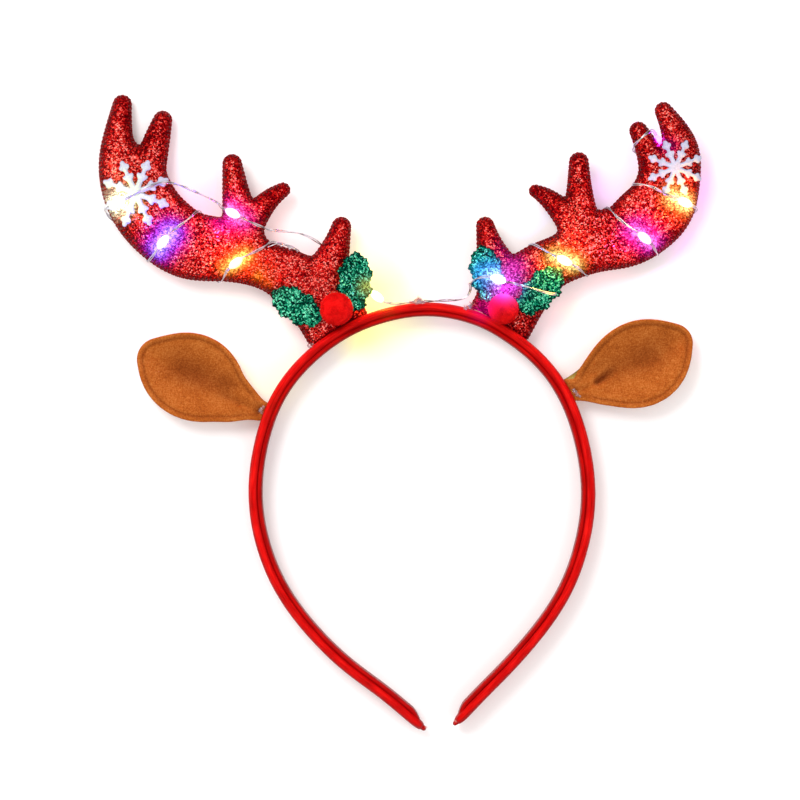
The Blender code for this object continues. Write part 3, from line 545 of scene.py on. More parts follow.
def leaf_outline(length, width):
    upper = [(a * length, s * width) for a, s in LEAF_EDGE]
    lower = [(a * length, -s * width) for a, s in LEAF_EDGE[::-1]]
    return np.array([(0.0, 0.0)] + lower[::-1] + [(length, 0.0)] + upper[::-1])


def laid_flat(points, surface):
    """Heights of the sloping plane that lies just clear of what is under the points."""
    rest = np.array([surface.top(*p) for p in points])
    table = np.column_stack([points, np.ones(len(points))])
    plane = table @ np.linalg.lstsq(table, rest, rcond=None)[0]
    return plane + (rest - plane).max() + GAP


# String of lights
# Which face a point lies on, small enough not to count as a length in the spline
SIDE_MARK = 1e-6
SIDES = {"F": SIDE_MARK, "B": -SIDE_MARK, "E": 0.0, "N": 0.0}


def pushed_clear(path, clear, lies, surface):
    """The path with each point moved off the solids, to its own side, until it is clear."""
    out = path.copy()
    for i, point in enumerate(path):
        at = Vector(point)
        side = int(lies[i] > 0.3 * SIDE_MARK) - int(lies[i] < -0.3 * SIDE_MARK)
        face = surface.face(at.x, at.y, side) if side else None
        if face and side * (at.z - face.z) < clear[i]:
            at.z = face.z + side * clear[i]
        spot, normal, _, distance = surface.tree.find_nearest(at)
        away = at - spot
        inside = away.dot(normal) < 0
        if inside or distance < clear[i]:
            direction = normal if inside or distance < 1e-7 else away.normalized()
            at = spot + direction * clear[i]
        out[i] = at
    return out


def wound_path(route, side, carriers, surface):
    """(path, indices of the drops' middles) of the string over the antler's faces and edges."""
    rise = WIRE_DIAMETER / 2 + WIRE_REST
    points = []
    for out, up, mark in route:
        x, y = antler_point(side, out, up)
        top, bottom = carriers.top(x, y), carriers.bottom(x, y)
        level = {
            "F": surface.top(x, y) + rise,
            "B": bottom - rise,
            "E": (top + bottom) / 2,
            "N": FREE_HEIGHT,
        }[mark[0]]
        points.append((x, y, level, SIDES[mark[0]]))
    path = smooth_path(points, 0.0007)
    lies = path[:, 3]
    centres = []
    for point, row in zip(points, route):
        if row[2].endswith("*"):
            centres.append(int(np.linalg.norm(path - point, axis=1).argmin()))
    path = path[:, :3]
    at = path_lengths(path)
    near = np.min([np.abs(at - at[centre]) for centre in centres], axis=0)
    reach = DROP_LENGTH / 2
    nearness = np.clip(1 - (near - reach) / (1.5 * reach), 0, 1)
    clear = rise + WIRE_TOLERANCE / 2 + (DROP_DIAMETER / 2 + GAP + DROP_SAG - rise) * nearness
    for turn in range(12):
        if turn:
            inner = path[1:-1] * 0.5 + (path[:-2] + path[2:]) * 0.25
            path = np.concatenate([path[:1], inner, path[-1:]])
        path = pushed_clear(path, clear, lies, surface)
        path[:, 2] = np.maximum(path[:, 2], rise)
    return path, centres


def straightened(path, centres):
    """The path with a straight run through each drop, and each drop's middle and direction."""
    at = path_lengths(path)
    reach = DROP_LENGTH / 2 + 0.0004
    places = []
    for centre in centres:
        first = int(np.searchsorted(at, at[centre] - reach))
        last = min(int(np.searchsorted(at, at[centre] + reach)), len(path) - 1)
        share = np.linspace(0, 1, last - first + 1)[:, None]
        path[first : last + 1] = path[first] * (1 - share) + path[last] * share
        places.append(((path[first] + path[last]) / 2, path[last] - path[first]))
    return path, places


# Colours and materials
def srgb(red, green, blue):
    """The linear colour of a display colour from 0 to 255."""
    shares = [value / 255 for value in (red, green, blue)]
    return tuple(s / 12.92 if s < 0.04045 else ((s + 0.055) / 1.055) ** 2.4 for s in shares)


def rgba(color):
    return (*color, 1.0)


class Shader:
    """A material's node tree, built node by node."""

    def __init__(self, name):
        self.material = bpy.data.materials.new(name)
        self.material.use_nodes = True
        self.tree = self.material.node_tree
        self.surface = self.tree.nodes["Principled BSDF"]
        self.place = self.add("TexCoord").outputs["Object"]

    def add(self, kind, sockets=None, **settings):
        node = self.tree.nodes.new("ShaderNode" + kind)
        for key, value in settings.items():
            setattr(node, key, value)
        for key, value in (sockets or {}).items():
            self.set(node, key, value)
        return node

    def set(self, node, key, value):
        if isinstance(value, bpy.types.NodeSocket):
            self.tree.links.new(value, node.inputs[key])
        else:
            node.inputs[key].default_value = value

    def finish(self, **sockets):
        for key, value in sockets.items():
            self.set(self.surface, key.replace("_", " "), value)
        return self.material

    def math(self, operation, a, b=0.0, clamp=False):
        made = self.add("Math", {0: a, 1: b}, operation=operation, use_clamp=clamp)
        return made.outputs[0]

    def blend(self, a, share_a, b, share_b):
        """The sum of two values, each times its share."""
        shares = [self.math("MULTIPLY", a, share_a), self.math("MULTIPLY", b, share_b)]
        return self.math("ADD", *shares)

    def vector(self, operation, a, b=(0, 0, 0), scale=None):
        made = self.add("VectorMath", {0: a, 1: b}, operation=operation)
        if scale is not None:
            self.set(made, "Scale", scale)
        return made.outputs[1 if operation == "LENGTH" else 0]

    def mix(self, share, a, b, blend="MIX"):
        """The mix of two colours."""
        made = self.add("Mix", data_type="RGBA", blend_type=blend)
        self.set(made, 0, share)
        self.set(made, 6, a if isinstance(a, bpy.types.NodeSocket) else rgba(a))
        self.set(made, 7, b if isinstance(b, bpy.types.NodeSocket) else rgba(b))
        return made.outputs[2]

    def ramp(self, value, stops):
        """A colour ramp through (position, colour) stops."""
        made = self.add("ValToRGB", {0: value})
        line = made.color_ramp
        while len(line.elements) < len(stops):
            line.elements.new(0.5)
        for element, (position, color) in zip(line.elements, stops):
            element.position = position
            element.color = rgba(color)
        return made.outputs[0]

    def remap(self, value, low, high, to_low=0.0, to_high=1.0):
        made = self.add(
            "MapRange", {0: value, 1: low, 2: high, 3: to_low, 4: to_high}, clamp=True
        )
        return made.outputs[0]

    def noise(self, size, detail=3.0, roughness=0.55, place=None):
        """Noise with features of about the given size in metres."""
        sockets = {"Vector": place or self.place, "Scale": 1 / size}
        made = self.add("TexNoise", {**sockets, "Detail": detail, "Roughness": roughness})
        return made.outputs["Fac"]

    def stretched(self, scales, place=None):
        """Coordinates multiplied along each axis."""
        made = self.add("Mapping", {"Vector": place or self.place, "Scale": scales})
        return made.outputs[0]

    def attribute(self, name, output="Fac"):
        return self.add("Attribute", attribute_name=name).outputs[output]

    def bump(self, height, distance, strength=1.0, normal=None):
        sockets = {"Height": height, "Distance": distance, "Strength": strength}
        if normal is not None:
            sockets["Normal"] = normal
        return self.add("Bump", sockets).outputs[0]


def glitter_material(name, shades, grain):
    """Cloth coated with fine flakes that each face their own way, with painted shade towards its
    edges.
    shades are five colours painted on the flakes, from painted shade on those that face away to a
    painted glint on those that flash; the lamps' painted glow is given off as emission."""
    s = Shader(name)
    cells = s.add("TexVoronoi", {"Vector": s.place, "Scale": 1 / grain, "Randomness": 1.0})
    fine = s.add("TexVoronoi", {"Vector": s.place, "Scale": 2.3 / grain, "Randomness": 1.0})
    first, second, third = s.add("SeparateColor", {0: cells.outputs["Color"]}).outputs
    small = s.add("SeparateColor", {0: fine.outputs["Color"]}).outputs[0]
    patches = s.noise(0.005, 2.0)
    inside = s.attribute("inside")
    level = s.blend(first, 0.66, small, 0.34)
    level = s.math("ADD", level, s.math("MULTIPLY", s.math("SUBTRACT", patches, 0.5), 0.35))
    # Painted shade: the flakes are painted darker towards the edges, where "inside" is low
    level = s.math("SUBTRACT", level, s.remap(inside, 0.0, 1.0, 0.36, 0.0))
    places = (0.26, 0.40, 0.54, 0.72, 0.88)
    color = s.ramp(level, list(zip(places, shades)))
    # Where the lamps' painted glow falls the cloth is painted darker, so the glow shows in its own
    # colour
    lit = s.remap(s.attribute("glow"), 0.01, 0.26, 0.0, 0.95)
    color = s.mix(lit, color, s.mix(0.7, color, shades[0]))
    tilt = s.vector("SUBTRACT", cells.outputs["Color"], (0.5, 0.5, 0.5))
    tilt = s.vector("SCALE", tilt, scale=0.8)
    normal = s.add("NewGeometry").outputs["Normal"]
    normal = s.vector("NORMALIZE", s.vector("ADD", normal, tilt))
    # The painted glow is given off as emission, strongest on the flakes painted to flash
    spark = s.remap(level, 0.25, 0.95, 0.25, 1.9)
    glow = s.vector("SCALE", s.attribute("glow", "Color"), scale=spark)
    s.surface.inputs["Specular IOR Level"].default_value = 0.12
    s.surface.inputs["Specular Tint"].default_value = rgba(shades[3])
    return s.finish(
        Base_Color=color,
        Normal=normal,
        Roughness=s.remap(third, 0.0, 1.0, 0.28, 0.6),
        Metallic=s.remap(second, 0.35, 0.65, 0.05, 0.6),
        Emission_Color=glow,
        Emission_Strength=1.0,
    )


def satin_material(name, dark, base, bright):
    """Satin with fine lengthwise streaks, drawn tight, painted lighter and darker along them as a
    painted sheen, with painted shade where it faces away from the key light and the lamps' painted
    glow given off as emission. u runs along the strap and v round it.
    """
    s = Shader(name)
    uv = s.add("UVMap", uv_map="strap").outputs[0]
    streaks = s.noise(1.0, 4.0, 0.6, s.stretched((60, 2600, 1), uv))
    broad = s.noise(1.0, 2.0, 0.5, s.stretched((110, 520, 1), uv))
    level = s.blend(streaks, 0.5, broad, 0.5)
    # Painted sheen: the streaks are painted from dark to bright
    color = s.ramp(level, [(0.30, dark), (0.50, base), (0.68, bright)])
    # Painted shade: darker where the surface turns away from the key light
    normal = s.add("NewGeometry").outputs["Normal"]
    facing = s.vector("MULTIPLY", normal, (-0.10, 0.45, 0.90))
    facing = s.add("SeparateXYZ", {0: facing}).outputs
    facing = s.math("ADD", s.math("ADD", facing[0], facing[1]), facing[2])
    color = s.mix(s.remap(facing, 0.20, 0.92, 0.80, 0.0), color, dark)
    sockets = {"Vector": s.stretched((5200, 5200, 1), uv), "Scale": 1.0}
    sockets.update({"Distortion": 0.6, "Detail": 1.0})
    threads = s.add("TexWave", sockets, bands_direction="DIAGONAL").outputs["Fac"]
    height = s.blend(streaks, 0.7, threads, 0.3)
    s.surface.inputs["Specular IOR Level"].default_value = 0.22
    s.surface.inputs["Specular Tint"].default_value = rgba(srgb(255, 120, 100))
    return s.finish(
        Base_Color=color,
        Roughness=s.remap(streaks, 0.3, 0.7, 0.30, 0.48),
        Normal=s.bump(height, 0.00012, 0.6),
        Emission_Color=s.attribute("glow", "Color"),
        Emission_Strength=1.0,
    )


def felt_material(name, shades, shade_tint, patch=0.006, glow=False):
    """Matted felt: short fibres that lie every way, with painted shade where "inside" is low.
    With glow, the lamps' painted glow is given off as emission.
    """
    s = Shader(name)
    blotches = s.noise(patch, 3.0, 0.5)
    fibres = s.noise(0.00055, 3.0, 0.65)
    hairs = s.noise(1.0, 2.0, 0.6, s.stretched((700, 2600, 900)))
    others = s.noise(1.0, 2.0, 0.6, s.stretched((2600, 700, 900)))
    woven = s.math("MAXIMUM", hairs, others)
    level = s.blend(blotches, 0.22, fibres, 0.48)
    level = s.math("ADD", level, s.math("MULTIPLY", woven, 0.30))
    color = s.ramp(level, list(zip((0.34, 0.50, 0.66), shades)))
    # Painted shade: the tint is multiplied in where "inside" is low
    color = s.mix(s.attribute("inside"), s.mix(1.0, color, shade_tint, "MULTIPLY"), color)
    height = s.blend(woven, 0.6, fibres, 0.6)
    s.surface.inputs["Sheen Weight"].default_value = 0.12
    s.surface.inputs["Sheen Roughness"].default_value = 0.5
    s.surface.inputs["Sheen Tint"].default_value = rgba(shades[2])
    s.surface.inputs["Specular IOR Level"].default_value = 0.1
    sockets = {"Base_Color": color, "Roughness": 0.95, "Normal": s.bump(height, 0.00025, 0.9)}
    if glow:
        sockets["Emission_Color"] = s.attribute("glow", "Color")
        sockets["Emission_Strength"] = 1.0
    return s.finish(**sockets)


def thread_material(name, dark, base, size=0.0004):
    s = Shader(name)
    twist = s.noise(size, 3.0, 0.6)
    color = s.ramp(twist, [(0.3, dark), (0.7, base)])
    s.surface.inputs["Specular IOR Level"].default_value = 0.0
    return s.finish(Base_Color=color, Roughness=0.75, Normal=s.bump(twist, 0.0001, 0.7))


def metal_material(name, base):
    s = Shader(name)
    marks = s.noise(0.004, 2.0, 0.5)
    color = s.ramp(marks, [(0.35, tuple(0.45 * c for c in base)), (0.6, base)])
    rough = s.remap(marks, 0.3, 0.7, 0.22, 0.36)
    return s.finish(
        Base_Color=color, Roughness=rough, Metallic=1.0, Normal=s.bump(marks, 0.00004, 0.5)
    )


def clear_material(name, tint, ior=1.46):
    """Clear glue."""
    s = Shader(name)
    ripples = s.noise(0.0015, 2.0, 0.5)
    s.surface.inputs["IOR"].default_value = ior
    s.surface.inputs["Transmission Weight"].default_value = 0.8
    color = s.ramp(ripples, [(0.3, tuple(0.9 * t for t in tint)), (0.7, tint)])
    rough = s.remap(ripples, 0.3, 0.7, 0.06, 0.2)
    return s.finish(Base_Color=color, Roughness=rough, Normal=s.bump(ripples, 0.0002, 0.5))


def lit_material(name, color, core):
    """Resin lit from inside, whitest at its middle."""
    s = Shader(name)
    facing = s.add("LayerWeight", {"Blend": 0.35}).outputs["Facing"]
    cloud = s.noise(0.0012, 2.0)
    hue = s.mix(s.remap(facing, 0.45, 0.98), core, tuple(2.0 * c for c in color))
    hue = s.mix(s.remap(cloud, 0.35, 0.65, 0.0, 0.2), hue, tuple(1.6 * c for c in color))
    return s.finish(
        Base_Color=s.mix(0.5, color, (1, 1, 1)),
        Roughness=0.15,
        Emission_Color=hue,
        Emission_Strength=1.0,
    )


# Pieces
def put(name, data, place=(0, 0, 0)):
    """A new object in the scene."""
    obj = bpy.data.objects.new(name, data)
    obj.location = place
    bpy.context.scene.collection.objects.link(obj)
    return obj


def dressed(name, data, finish, slot=None, *nodes):
    """A new piece that rides on the object and stands for CAD nodes, if it names any."""
    obj = put(name, data)
    data.materials.append(finish)
    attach(obj, "root")
    if nodes:
        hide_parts(*nodes)
    return obj


def mesh_data(name, points, faces, smooth=True):
    """The mesh of these points and faces, which turn outwards where they enclose a body."""
    points = np.asarray(points, float)
    faces = [tuple(f) for f in faces]
    fans = np.array([(f[0], f[i], f[i + 1]) for f in faces for i in range(1, len(f) - 1)])
    a, b, c = (points[fans[:, i]] - points.mean(axis=0) for i in range(3))
    if (np.cross(a, b) * c).sum() < 0:
        faces = [f[::-1] for f in faces]
    mesh = bpy.data.meshes.new(name)
    mesh.from_pydata(points.tolist(), [], faces)
    mesh.validate()
    if smooth:
        mesh.shade_smooth()
    mesh.update()
    return mesh


def float_attribute(mesh, name, values):
    layer = mesh.attributes.new(name, "FLOAT", "POINT")
    layer.data.foreach_set("value", np.asarray(values, np.float32))


def color_attribute(mesh, name, values):
    layer = mesh.attributes.new(name, "FLOAT_COLOR", "POINT")
    full = np.ones((len(values), 4), np.float32)
    full[:, :3] = values
    layer.data.foreach_set("color", full.ravel())


def on_level(points, height=0.0):
    """Flat points as points in space, at one height."""
    return np.column_stack([points, np.full(len(points), height)])


def noise_at(points, size, seed=0.0):
    """Smooth noise from -1 to 1 at each point, with features of the given size."""
    shift = Vector((seed, 7.3 * seed, 3.1 * seed))
    return np.array([noise.noise(Vector(p) / size + shift) for p in points])


def joined(parts):
    """(points, faces) of several meshes as one."""
    points, faces, start = [], [], 0
    for more, their in parts:
        points.append(np.asarray(more, float))
        faces += [tuple(i + start for i in face) for face in their]
        start += len(more)
    return np.concatenate(points), faces


def frames_along(path, up=(0.0, 0.0, 1.0)):
    """Unit side and top vectors at each point of a path, turned as little as possible."""
    along = unit_rows(np.gradient(path, axis=0))
    side = np.cross(np.array(up, float), along[0])
    if np.linalg.norm(side) < 1e-6:
        side = np.cross((1.0, 0.0, 0.0), along[0])
    sides = []
    for step in along:
        side = side - step * (side @ step)
        side /= np.linalg.norm(side)
        sides.append(side)
    sides = np.array(sides)
    return sides, np.cross(along, sides)


def ring_faces(count, around):
    """Faces between rings of points one after the other, with a cap at each end."""
    faces = []
    for i in range(0, (count - 1) * around, around):
        for j in range(around):
            k = (j + 1) % around
            faces.append((i + j, i + k, i + around + k, i + around + j))
    last = (count - 1) * around
    faces.append(tuple(range(around - 1, -1, -1)))
    faces.append(tuple(last + j for j in range(around)))
    return faces


def tube(path, radius, around=6):
    """(points, faces) of a closed tube along a path. radius is one number or one a point."""
    path = np.asarray(path, float)
    sides, tops = frames_along(path)
    radii = np.broadcast_to(radius, len(path))
    angles = np.arange(around) * 2 * math.pi / around
    rings = [
        p + r * (np.outer(np.cos(angles), a) + np.outer(np.sin(angles), b))
        for p, r, a, b in zip(path, radii, sides, tops)
    ]
    return np.concatenate(rings), ring_faces(len(path), around)


# Hairband
def strap_mesh(name, inset, cut, width, thickness, corner, bumps, tuck=0.0, around=36):
    """A strap swept along the hoop, drawn in to a gathered nub at both ends. bumps gives how far
    its skin stands out at a length along it, a turn round it and a share of the way to an end.
    tuck is how far its ends lean away from the head."""
    line = hoop_line(inset, cut, 60)
    line = smooth_path(line, 0.0008)
    at = path_lengths(line)
    outward = on_level(outward_normals(line))
    shape = rounded_section(width, thickness, corner, around)
    nub = 0.0016
    ends = np.linspace(0, 1, 7)[1:]
    drawn = [(nub * t, math.sqrt(1 - 0.97 * t * t)) for t in ends]
    rows = [(line[0], outward[0], at[0] - beyond, shrink) for beyond, shrink in drawn[::-1]]
    rows += [(p, n, a, 1.0) for p, n, a in zip(line, outward, at)]
    rows += [(line[-1], outward[-1], at[-1] + beyond, shrink) for beyond, shrink in drawn]
    first = (line[0] - line[1]) / np.linalg.norm(line[0] - line[1])
    last = (line[-1] - line[-2]) / np.linalg.norm(line[-1] - line[-2])
    points, uv = [], []
    perimeter = np.concatenate(
        [[0], np.cumsum(np.linalg.norm(np.diff(shape, axis=0, append=shape[:1]), axis=1))]
    )
    for place, normal, along, shrink in rows:
        end = min(max(min(along, at[-1] - along), 0) / TIP_LENGTH, 1.0)
        size = shrink * (TIP_SHARE + (1 - TIP_SHARE) * math.sqrt(1 - (1 - end) ** 2))
        lean = tuck * (1 - end) ** 1.5
        beyond = max(-along, along - at[-1], 0.0)
        ahead = first if along < at[-1] / 2 else last
        centre = np.array([*(place + ahead * beyond), BAND_WIDTH / 2])
        for k, (out, up) in enumerate(shape):
            turn = 2 * math.pi * k / around
            length = math.hypot(out, up) or 1.0
            lift = bumps(along, turn, end)
            skin = (out * size + out / length * lift, up * size + up / length * lift)
            points.append(centre + normal * (skin[0] + lean) + np.array([0, 0, skin[1]]))
    for this, following in zip(rows, rows[1:]):
        for v0, v1 in zip(perimeter, perimeter[1:]):
            uv += [(this[2], v0), (this[2], v1), (following[2], v1), (following[2], v0)]
    uv += [(rows[0][2], 0)] * around + [(rows[-1][2], 0)] * around
    mesh = mesh_data(name, points, ring_faces(len(rows), around))
    layer = mesh.uv_layers.new(name="strap")
    layer.data.foreach_set("uv", np.array(uv, np.float32).ravel())
    return mesh


def rounded_section(width, thickness, corner, around):
    """Points evenly round a rounded rectangle, as (out, up) from its middle."""
    radius = corner * thickness
    dense = []
    for quarter, (sx, sy) in enumerate(((1, 1), (-1, 1), (-1, -1), (1, -1))):
        for turn in np.linspace(0, 90, 9):
            angle = math.radians(quarter * 90 + turn)
            dense.append(
                (
                    sx * (thickness / 2 - radius) + radius * math.cos(angle),
                    sy * (width / 2 - radius) + radius * math.sin(angle),
                )
            )
    return resampled(np.array(dense + dense[:1]), around + 1)[:-1]


def satin_folds(along, turn, end):
    """Long shallow folds of satin drawn over the strap, deeper where it gathers at the tips."""
    ring = Vector((math.cos(turn) * 2.2, math.sin(turn) * 2.2, 0))
    long_fold = noise.noise(Vector((0, 0, along / 0.014)) + ring)
    fine_fold = noise.noise(Vector((9, 4, along / 0.006)) + ring * 2.6)
    pleats = math.cos(turn * 11 + 3 * long_fold) * (1 - end)
    outer = 0.3 + 0.7 * max(math.cos(turn), 0.0)
    return outer * (0.00009 * long_fold + 0.00005 * fine_fold) + 0.00022 * pleats


def lining_folds(along, turn, end):
    return 0.25 * satin_folds(along, turn + 1.0, 1.0)


SATIN_SWELL = 0.0004
LINING_LAP = 0.0006


def make_hairband():
    outer = (BAND_THICKNESS - STRAP_THICKNESS - SATIN_SWELL) / 2
    inner = (STRAP_THICKNESS - LINING_THICKNESS - LINING_LAP) / 2
    satin = satin_material("satin_red", srgb(140, 0, 2), srgb(204, 4, 6), srgb(240, 24, 20))
    # The lining's satin is a darker copy of the band's: painted shade on the inner strip
    ribbon = satin_material("satin_red_shaded", srgb(122, 0, 2), srgb(172, 2, 4), srgb(206, 10, 8))
    body = strap_mesh(
        "satin_hairband", outer, 0.0, BAND_WIDTH, BAND_THICKNESS + SATIN_SWELL, 0.5, satin_folds
    )
    lining = strap_mesh(
        "satin_lining", inner, LINING_INSET * 0.24, LINING_WIDTH + LINING_LAP,
        LINING_THICKNESS + LINING_LAP, 0.5, lining_folds, 0.0020, 24,
    )
    return [
        dressed("satin_hairband", body, satin, "satin", "hairband"),
        dressed("satin_lining", lining, ribbon, "lining", "hairband_lining"),
    ]


# Padded pieces
def closed_even(loop, spacing):
    """The closed loop as points about a spacing apart, anticlockwise."""
    around = np.concatenate([loop, loop[:1]])
    count = max(int(round(path_lengths(around)[-1] / spacing)), 8)
    even = resampled(around, count + 1)[:-1]
    x, y = even.T
    area = (x * np.roll(y, -1) - y * np.roll(x, -1)).sum()
    return even if area > 0 else even[::-1]


def loop_normals(loop):
    along = unit_rows(np.roll(loop, -1, axis=0) - np.roll(loop, 1, axis=0))
    return np.column_stack([along[:, 1], -along[:, 0]])


class Pad:
    """A padded body over a flat outline, as two faces of points that share a rim."""

    def __init__(self, shape, heights, spacing, rings):
        self.shape = shape
        self.loop = closed_even(contour(shape, 0.0, RIM_STEP, RIM_TOLERANCE), RIM_STEP)
        inner = []
        for inset, gap in rings:
            inner.append(closed_even(contour(shape, -inset, RIM_STEP, RIM_TOLERANCE), gap))
        low, high = shape.box()
        field = hex_grid(low, high, spacing)
        inner.append(field[shape.field(field) < -(rings[-1][0] + 0.5 * spacing)])
        self.points, self.faces = filled(self.loop, np.concatenate(inner))
        self.rim = len(self.loop)
        self.bottom, self.top = heights(shape, self.points)
        normals = loop_normals(self.loop)
        lengths = np.arange(self.rim) * RIM_STEP
        apart = np.empty(len(self.points))
        nearest = np.empty(len(self.points), int)
        for start in range(0, len(self.points), 800):
            block = self.points[start : start + 800]
            far = np.linalg.norm(block[:, None] - self.loop[None], axis=2)
            nearest[start : start + 800] = far.argmin(axis=1)
            apart[start : start + 800] = far.min(axis=1)
        self.depth = apart
        self.along = lengths[nearest]
        self.normals = normals

    def smoothed(self, turns, face):
        """A face's heights with its creases eased, the rim held."""
        links = [[] for _ in self.points]
        for a, b, c in self.faces:
            links[a] += [b, c]
            links[b] += [a, c]
            links[c] += [a, b]
        links = [np.unique(link) for link in links]
        heights = face.copy()
        for _ in range(turns):
            mean = np.array([heights[link].mean() for link in links])
            heights[self.rim :] = 0.4 * heights[self.rim :] + 0.6 * mean[self.rim :]
        return heights

    def mesh(self, name):
        count = len(self.points)
        points = np.concatenate(
            [np.column_stack([self.points, self.top]), np.column_stack([self.points, self.bottom])]
        )
        faces = [tuple(f) for f in self.faces]
        a, b, c = (self.points[list(ids)] for ids in zip(*faces))
        turned = np.cross(b - a, c - a) < 0
        faces = [f[::-1] if t else f for f, t in zip(faces, turned)]
        faces += [tuple(i + count for i in f[::-1]) for f in faces]
        for i in range(self.rim):
            j = (i + 1) % self.rim
            faces.append((i, i + count, j + count, j))
        mesh = mesh_data(name, points, faces)
        float_attribute(mesh, "inside", np.tile(self.inside, 2))
        return mesh


ANTLER_PLANS = {
    "left": (LEFT_ANTLER, LEFT_ANTLER_SEAT, -1),
    "right": (RIGHT_ANTLER, RIGHT_ANTLER_SEAT, 1),
}
STITCH_PITCH = 0.0016


def antler_pad(side):
    """A stuffed antler: full limbs, gathers along the sewn edge and soft dents."""
    table, seat, outward = ANTLER_PLANS[side]
    shape = Limbs(antler_limbs(table, hoop_seat(seat), outward), CROTCH_BLEND)
    pad = Pad(
        shape, antler_heights, 0.0011,
        ((0.0004, 0.0005), (0.0009, 0.0006), (0.0015, 0.0008), (0.0023, 0.0010)),
    )
    seed = 3.0 if side == "left" else 8.0
    gathers = np.array([noise.noise(Vector((a / 0.0042, seed, 0))) for a in pad.along])
    sharp = np.array([noise.noise(Vector((a / 0.0017, seed, 5))) for a in pad.along])
    flat = on_level(pad.points)
    dents = noise_at(flat, 0.011, seed)
    fine = noise_at(flat, 0.0045, seed + 2)
    band = np.exp(-(((pad.depth - 0.0026) / 0.0022) ** 2))
    close = np.exp(-(((pad.depth - 0.0012) / 0.0011) ** 2))
    fullness = np.clip(pad.depth / 0.003, 0, 1)
    for face, sign in (("top", 1), ("bottom", -1)):
        eased = pad.smoothed(5, getattr(pad, face))
        swell = 0.00042 * band * gathers + 0.00018 * close * sharp
        swell += fullness * (0.00035 * dents + 0.00016 * fine)
        moved = eased + sign * swell
        if face == "bottom":
            moved = np.maximum(moved, FLOOR_GAP * 0.5)
        setattr(pad, face, moved)
    # Painted shade near the sewn edge, over a band of uneven width, stored as "inside"
    shaded = 0.0040 * (1 + 0.9 * noise_at(flat, 0.013, seed + 4))
    pad.inside = np.clip(pad.depth / np.maximum(shaded, 0.0014), 0, 1) ** 0.8
    return pad


# A stitch over the edge: share of its reach, and 1 on the front, 0 at the rim or -1 on the back
STITCH_RUN = (
    (1.0, 1), (0.62, 1), (0.25, 1), (0.0, 0), (0.25, -1), (0.62, -1), (1.0, -1),
)


def sewn_edge(pad, surface, cut):
    """Overlocking round a pad: a looped cord on the rim and a thread over each stitch of it.
    cut is how far outside the hoop's line the sewing starts."""
    free = outside_hoop(pad.loop) > cut
    level = (pad.top[: pad.rim] + pad.bottom[: pad.rim]) / 2
    start = int(np.flatnonzero(~free)[-1]) if (~free).any() else 0
    order = np.roll(np.arange(pad.rim), -start)
    order = order[free[order]]
    line, normals, level = pad.loop[order], pad.normals[order], level[order]
    at = np.arange(len(order)) * RIM_STEP
    wave = np.cos(2 * math.pi * at / STITCH_PITCH)
    cord = np.column_stack([line + normals * (0.00006 * wave - 0.00004)[:, None], level])
    parts = [tube(cord, 0.00034 + 0.00006 * wave, 7)]
    pitch = int(round(STITCH_PITCH / RIM_STEP))
    for n, i in enumerate(range(pitch, len(order) - pitch, pitch)):
        lean = 1 if n % 2 else 0
        reach = 0.0017 + 0.0003 * math.sin(n * 2.4)
        outer = line[i] + normals[i] * 0.00032
        run = []
        for share, face in STITCH_RUN:
            j = min(i + lean * int(round(share)), len(order) - 1)
            spot = line[j] - normals[j] * reach * share if face else outer
            if face > 0:
                height = surface.top(*spot) + 0.00005
            elif face < 0:
                height = surface.bottom(*spot) - 0.00005
            else:
                height = level[i]
            run.append((*spot, max(height, 0.0001)))
        parts.append(tube(run, 0.00015, 5))
    return joined(parts)


RED_SHADES = (
    srgb(68, 0, 4), srgb(124, 0, 4), srgb(196, 14, 14), srgb(242, 66, 54), srgb(255, 170, 158)
)
GREEN_SHADES = (
    srgb(0, 20, 18), srgb(0, 42, 34), srgb(0, 84, 60), srgb(30, 170, 124), srgb(140, 250, 206)
)


def make_antlers():
    cloth = glitter_material("red_glitter_cloth", RED_SHADES, 0.00048)
    thread = thread_material("dark_red_thread", srgb(90, 0, 6), srgb(160, 4, 10))
    made = {}
    for side in ("left", "right"):
        pad = antler_pad(side)
        name = f"{side}_stuffed_antler"
        obj = dressed(name, pad.mesh(name), cloth, "red_glitter_cloth", f"{side}_antler")
        made[side] = obj
        name = f"{side}_antler_stitching"
        points, faces = sewn_edge(pad, Surface([obj]), STRAP_THICKNESS / 2 + 0.0006)
        dressed(name, mesh_data(name, points, faces), thread, "red_glitter_cloth")
    return made


# Ears
EAR_PLANS = {
    "left": (LEFT_EAR, LEFT_EAR_SEAT, -1),
    "right": (RIGHT_EAR, RIGHT_EAR_SEAT, 1),
}
EAR_SEAM = 0.0020
# Creases: from the deepest end to the shallow one in pixels of the photograph, depth, half width
EAR_CREASES = {
    "left": (
        (258, 409, 216, 393, 0.0012, 0.0012), (258, 413, 236, 412, 0.0007, 0.0011),
        (226, 386, 158, 360, 0.0010, 0.0048),
    ),
    "right": (
        (598, 382, 618, 367, 0.0018, 0.0010), (576, 391, 598, 383, 0.0008, 0.0007),
        (604, 374, 664, 350, 0.0008, 0.0050),
    ),
}


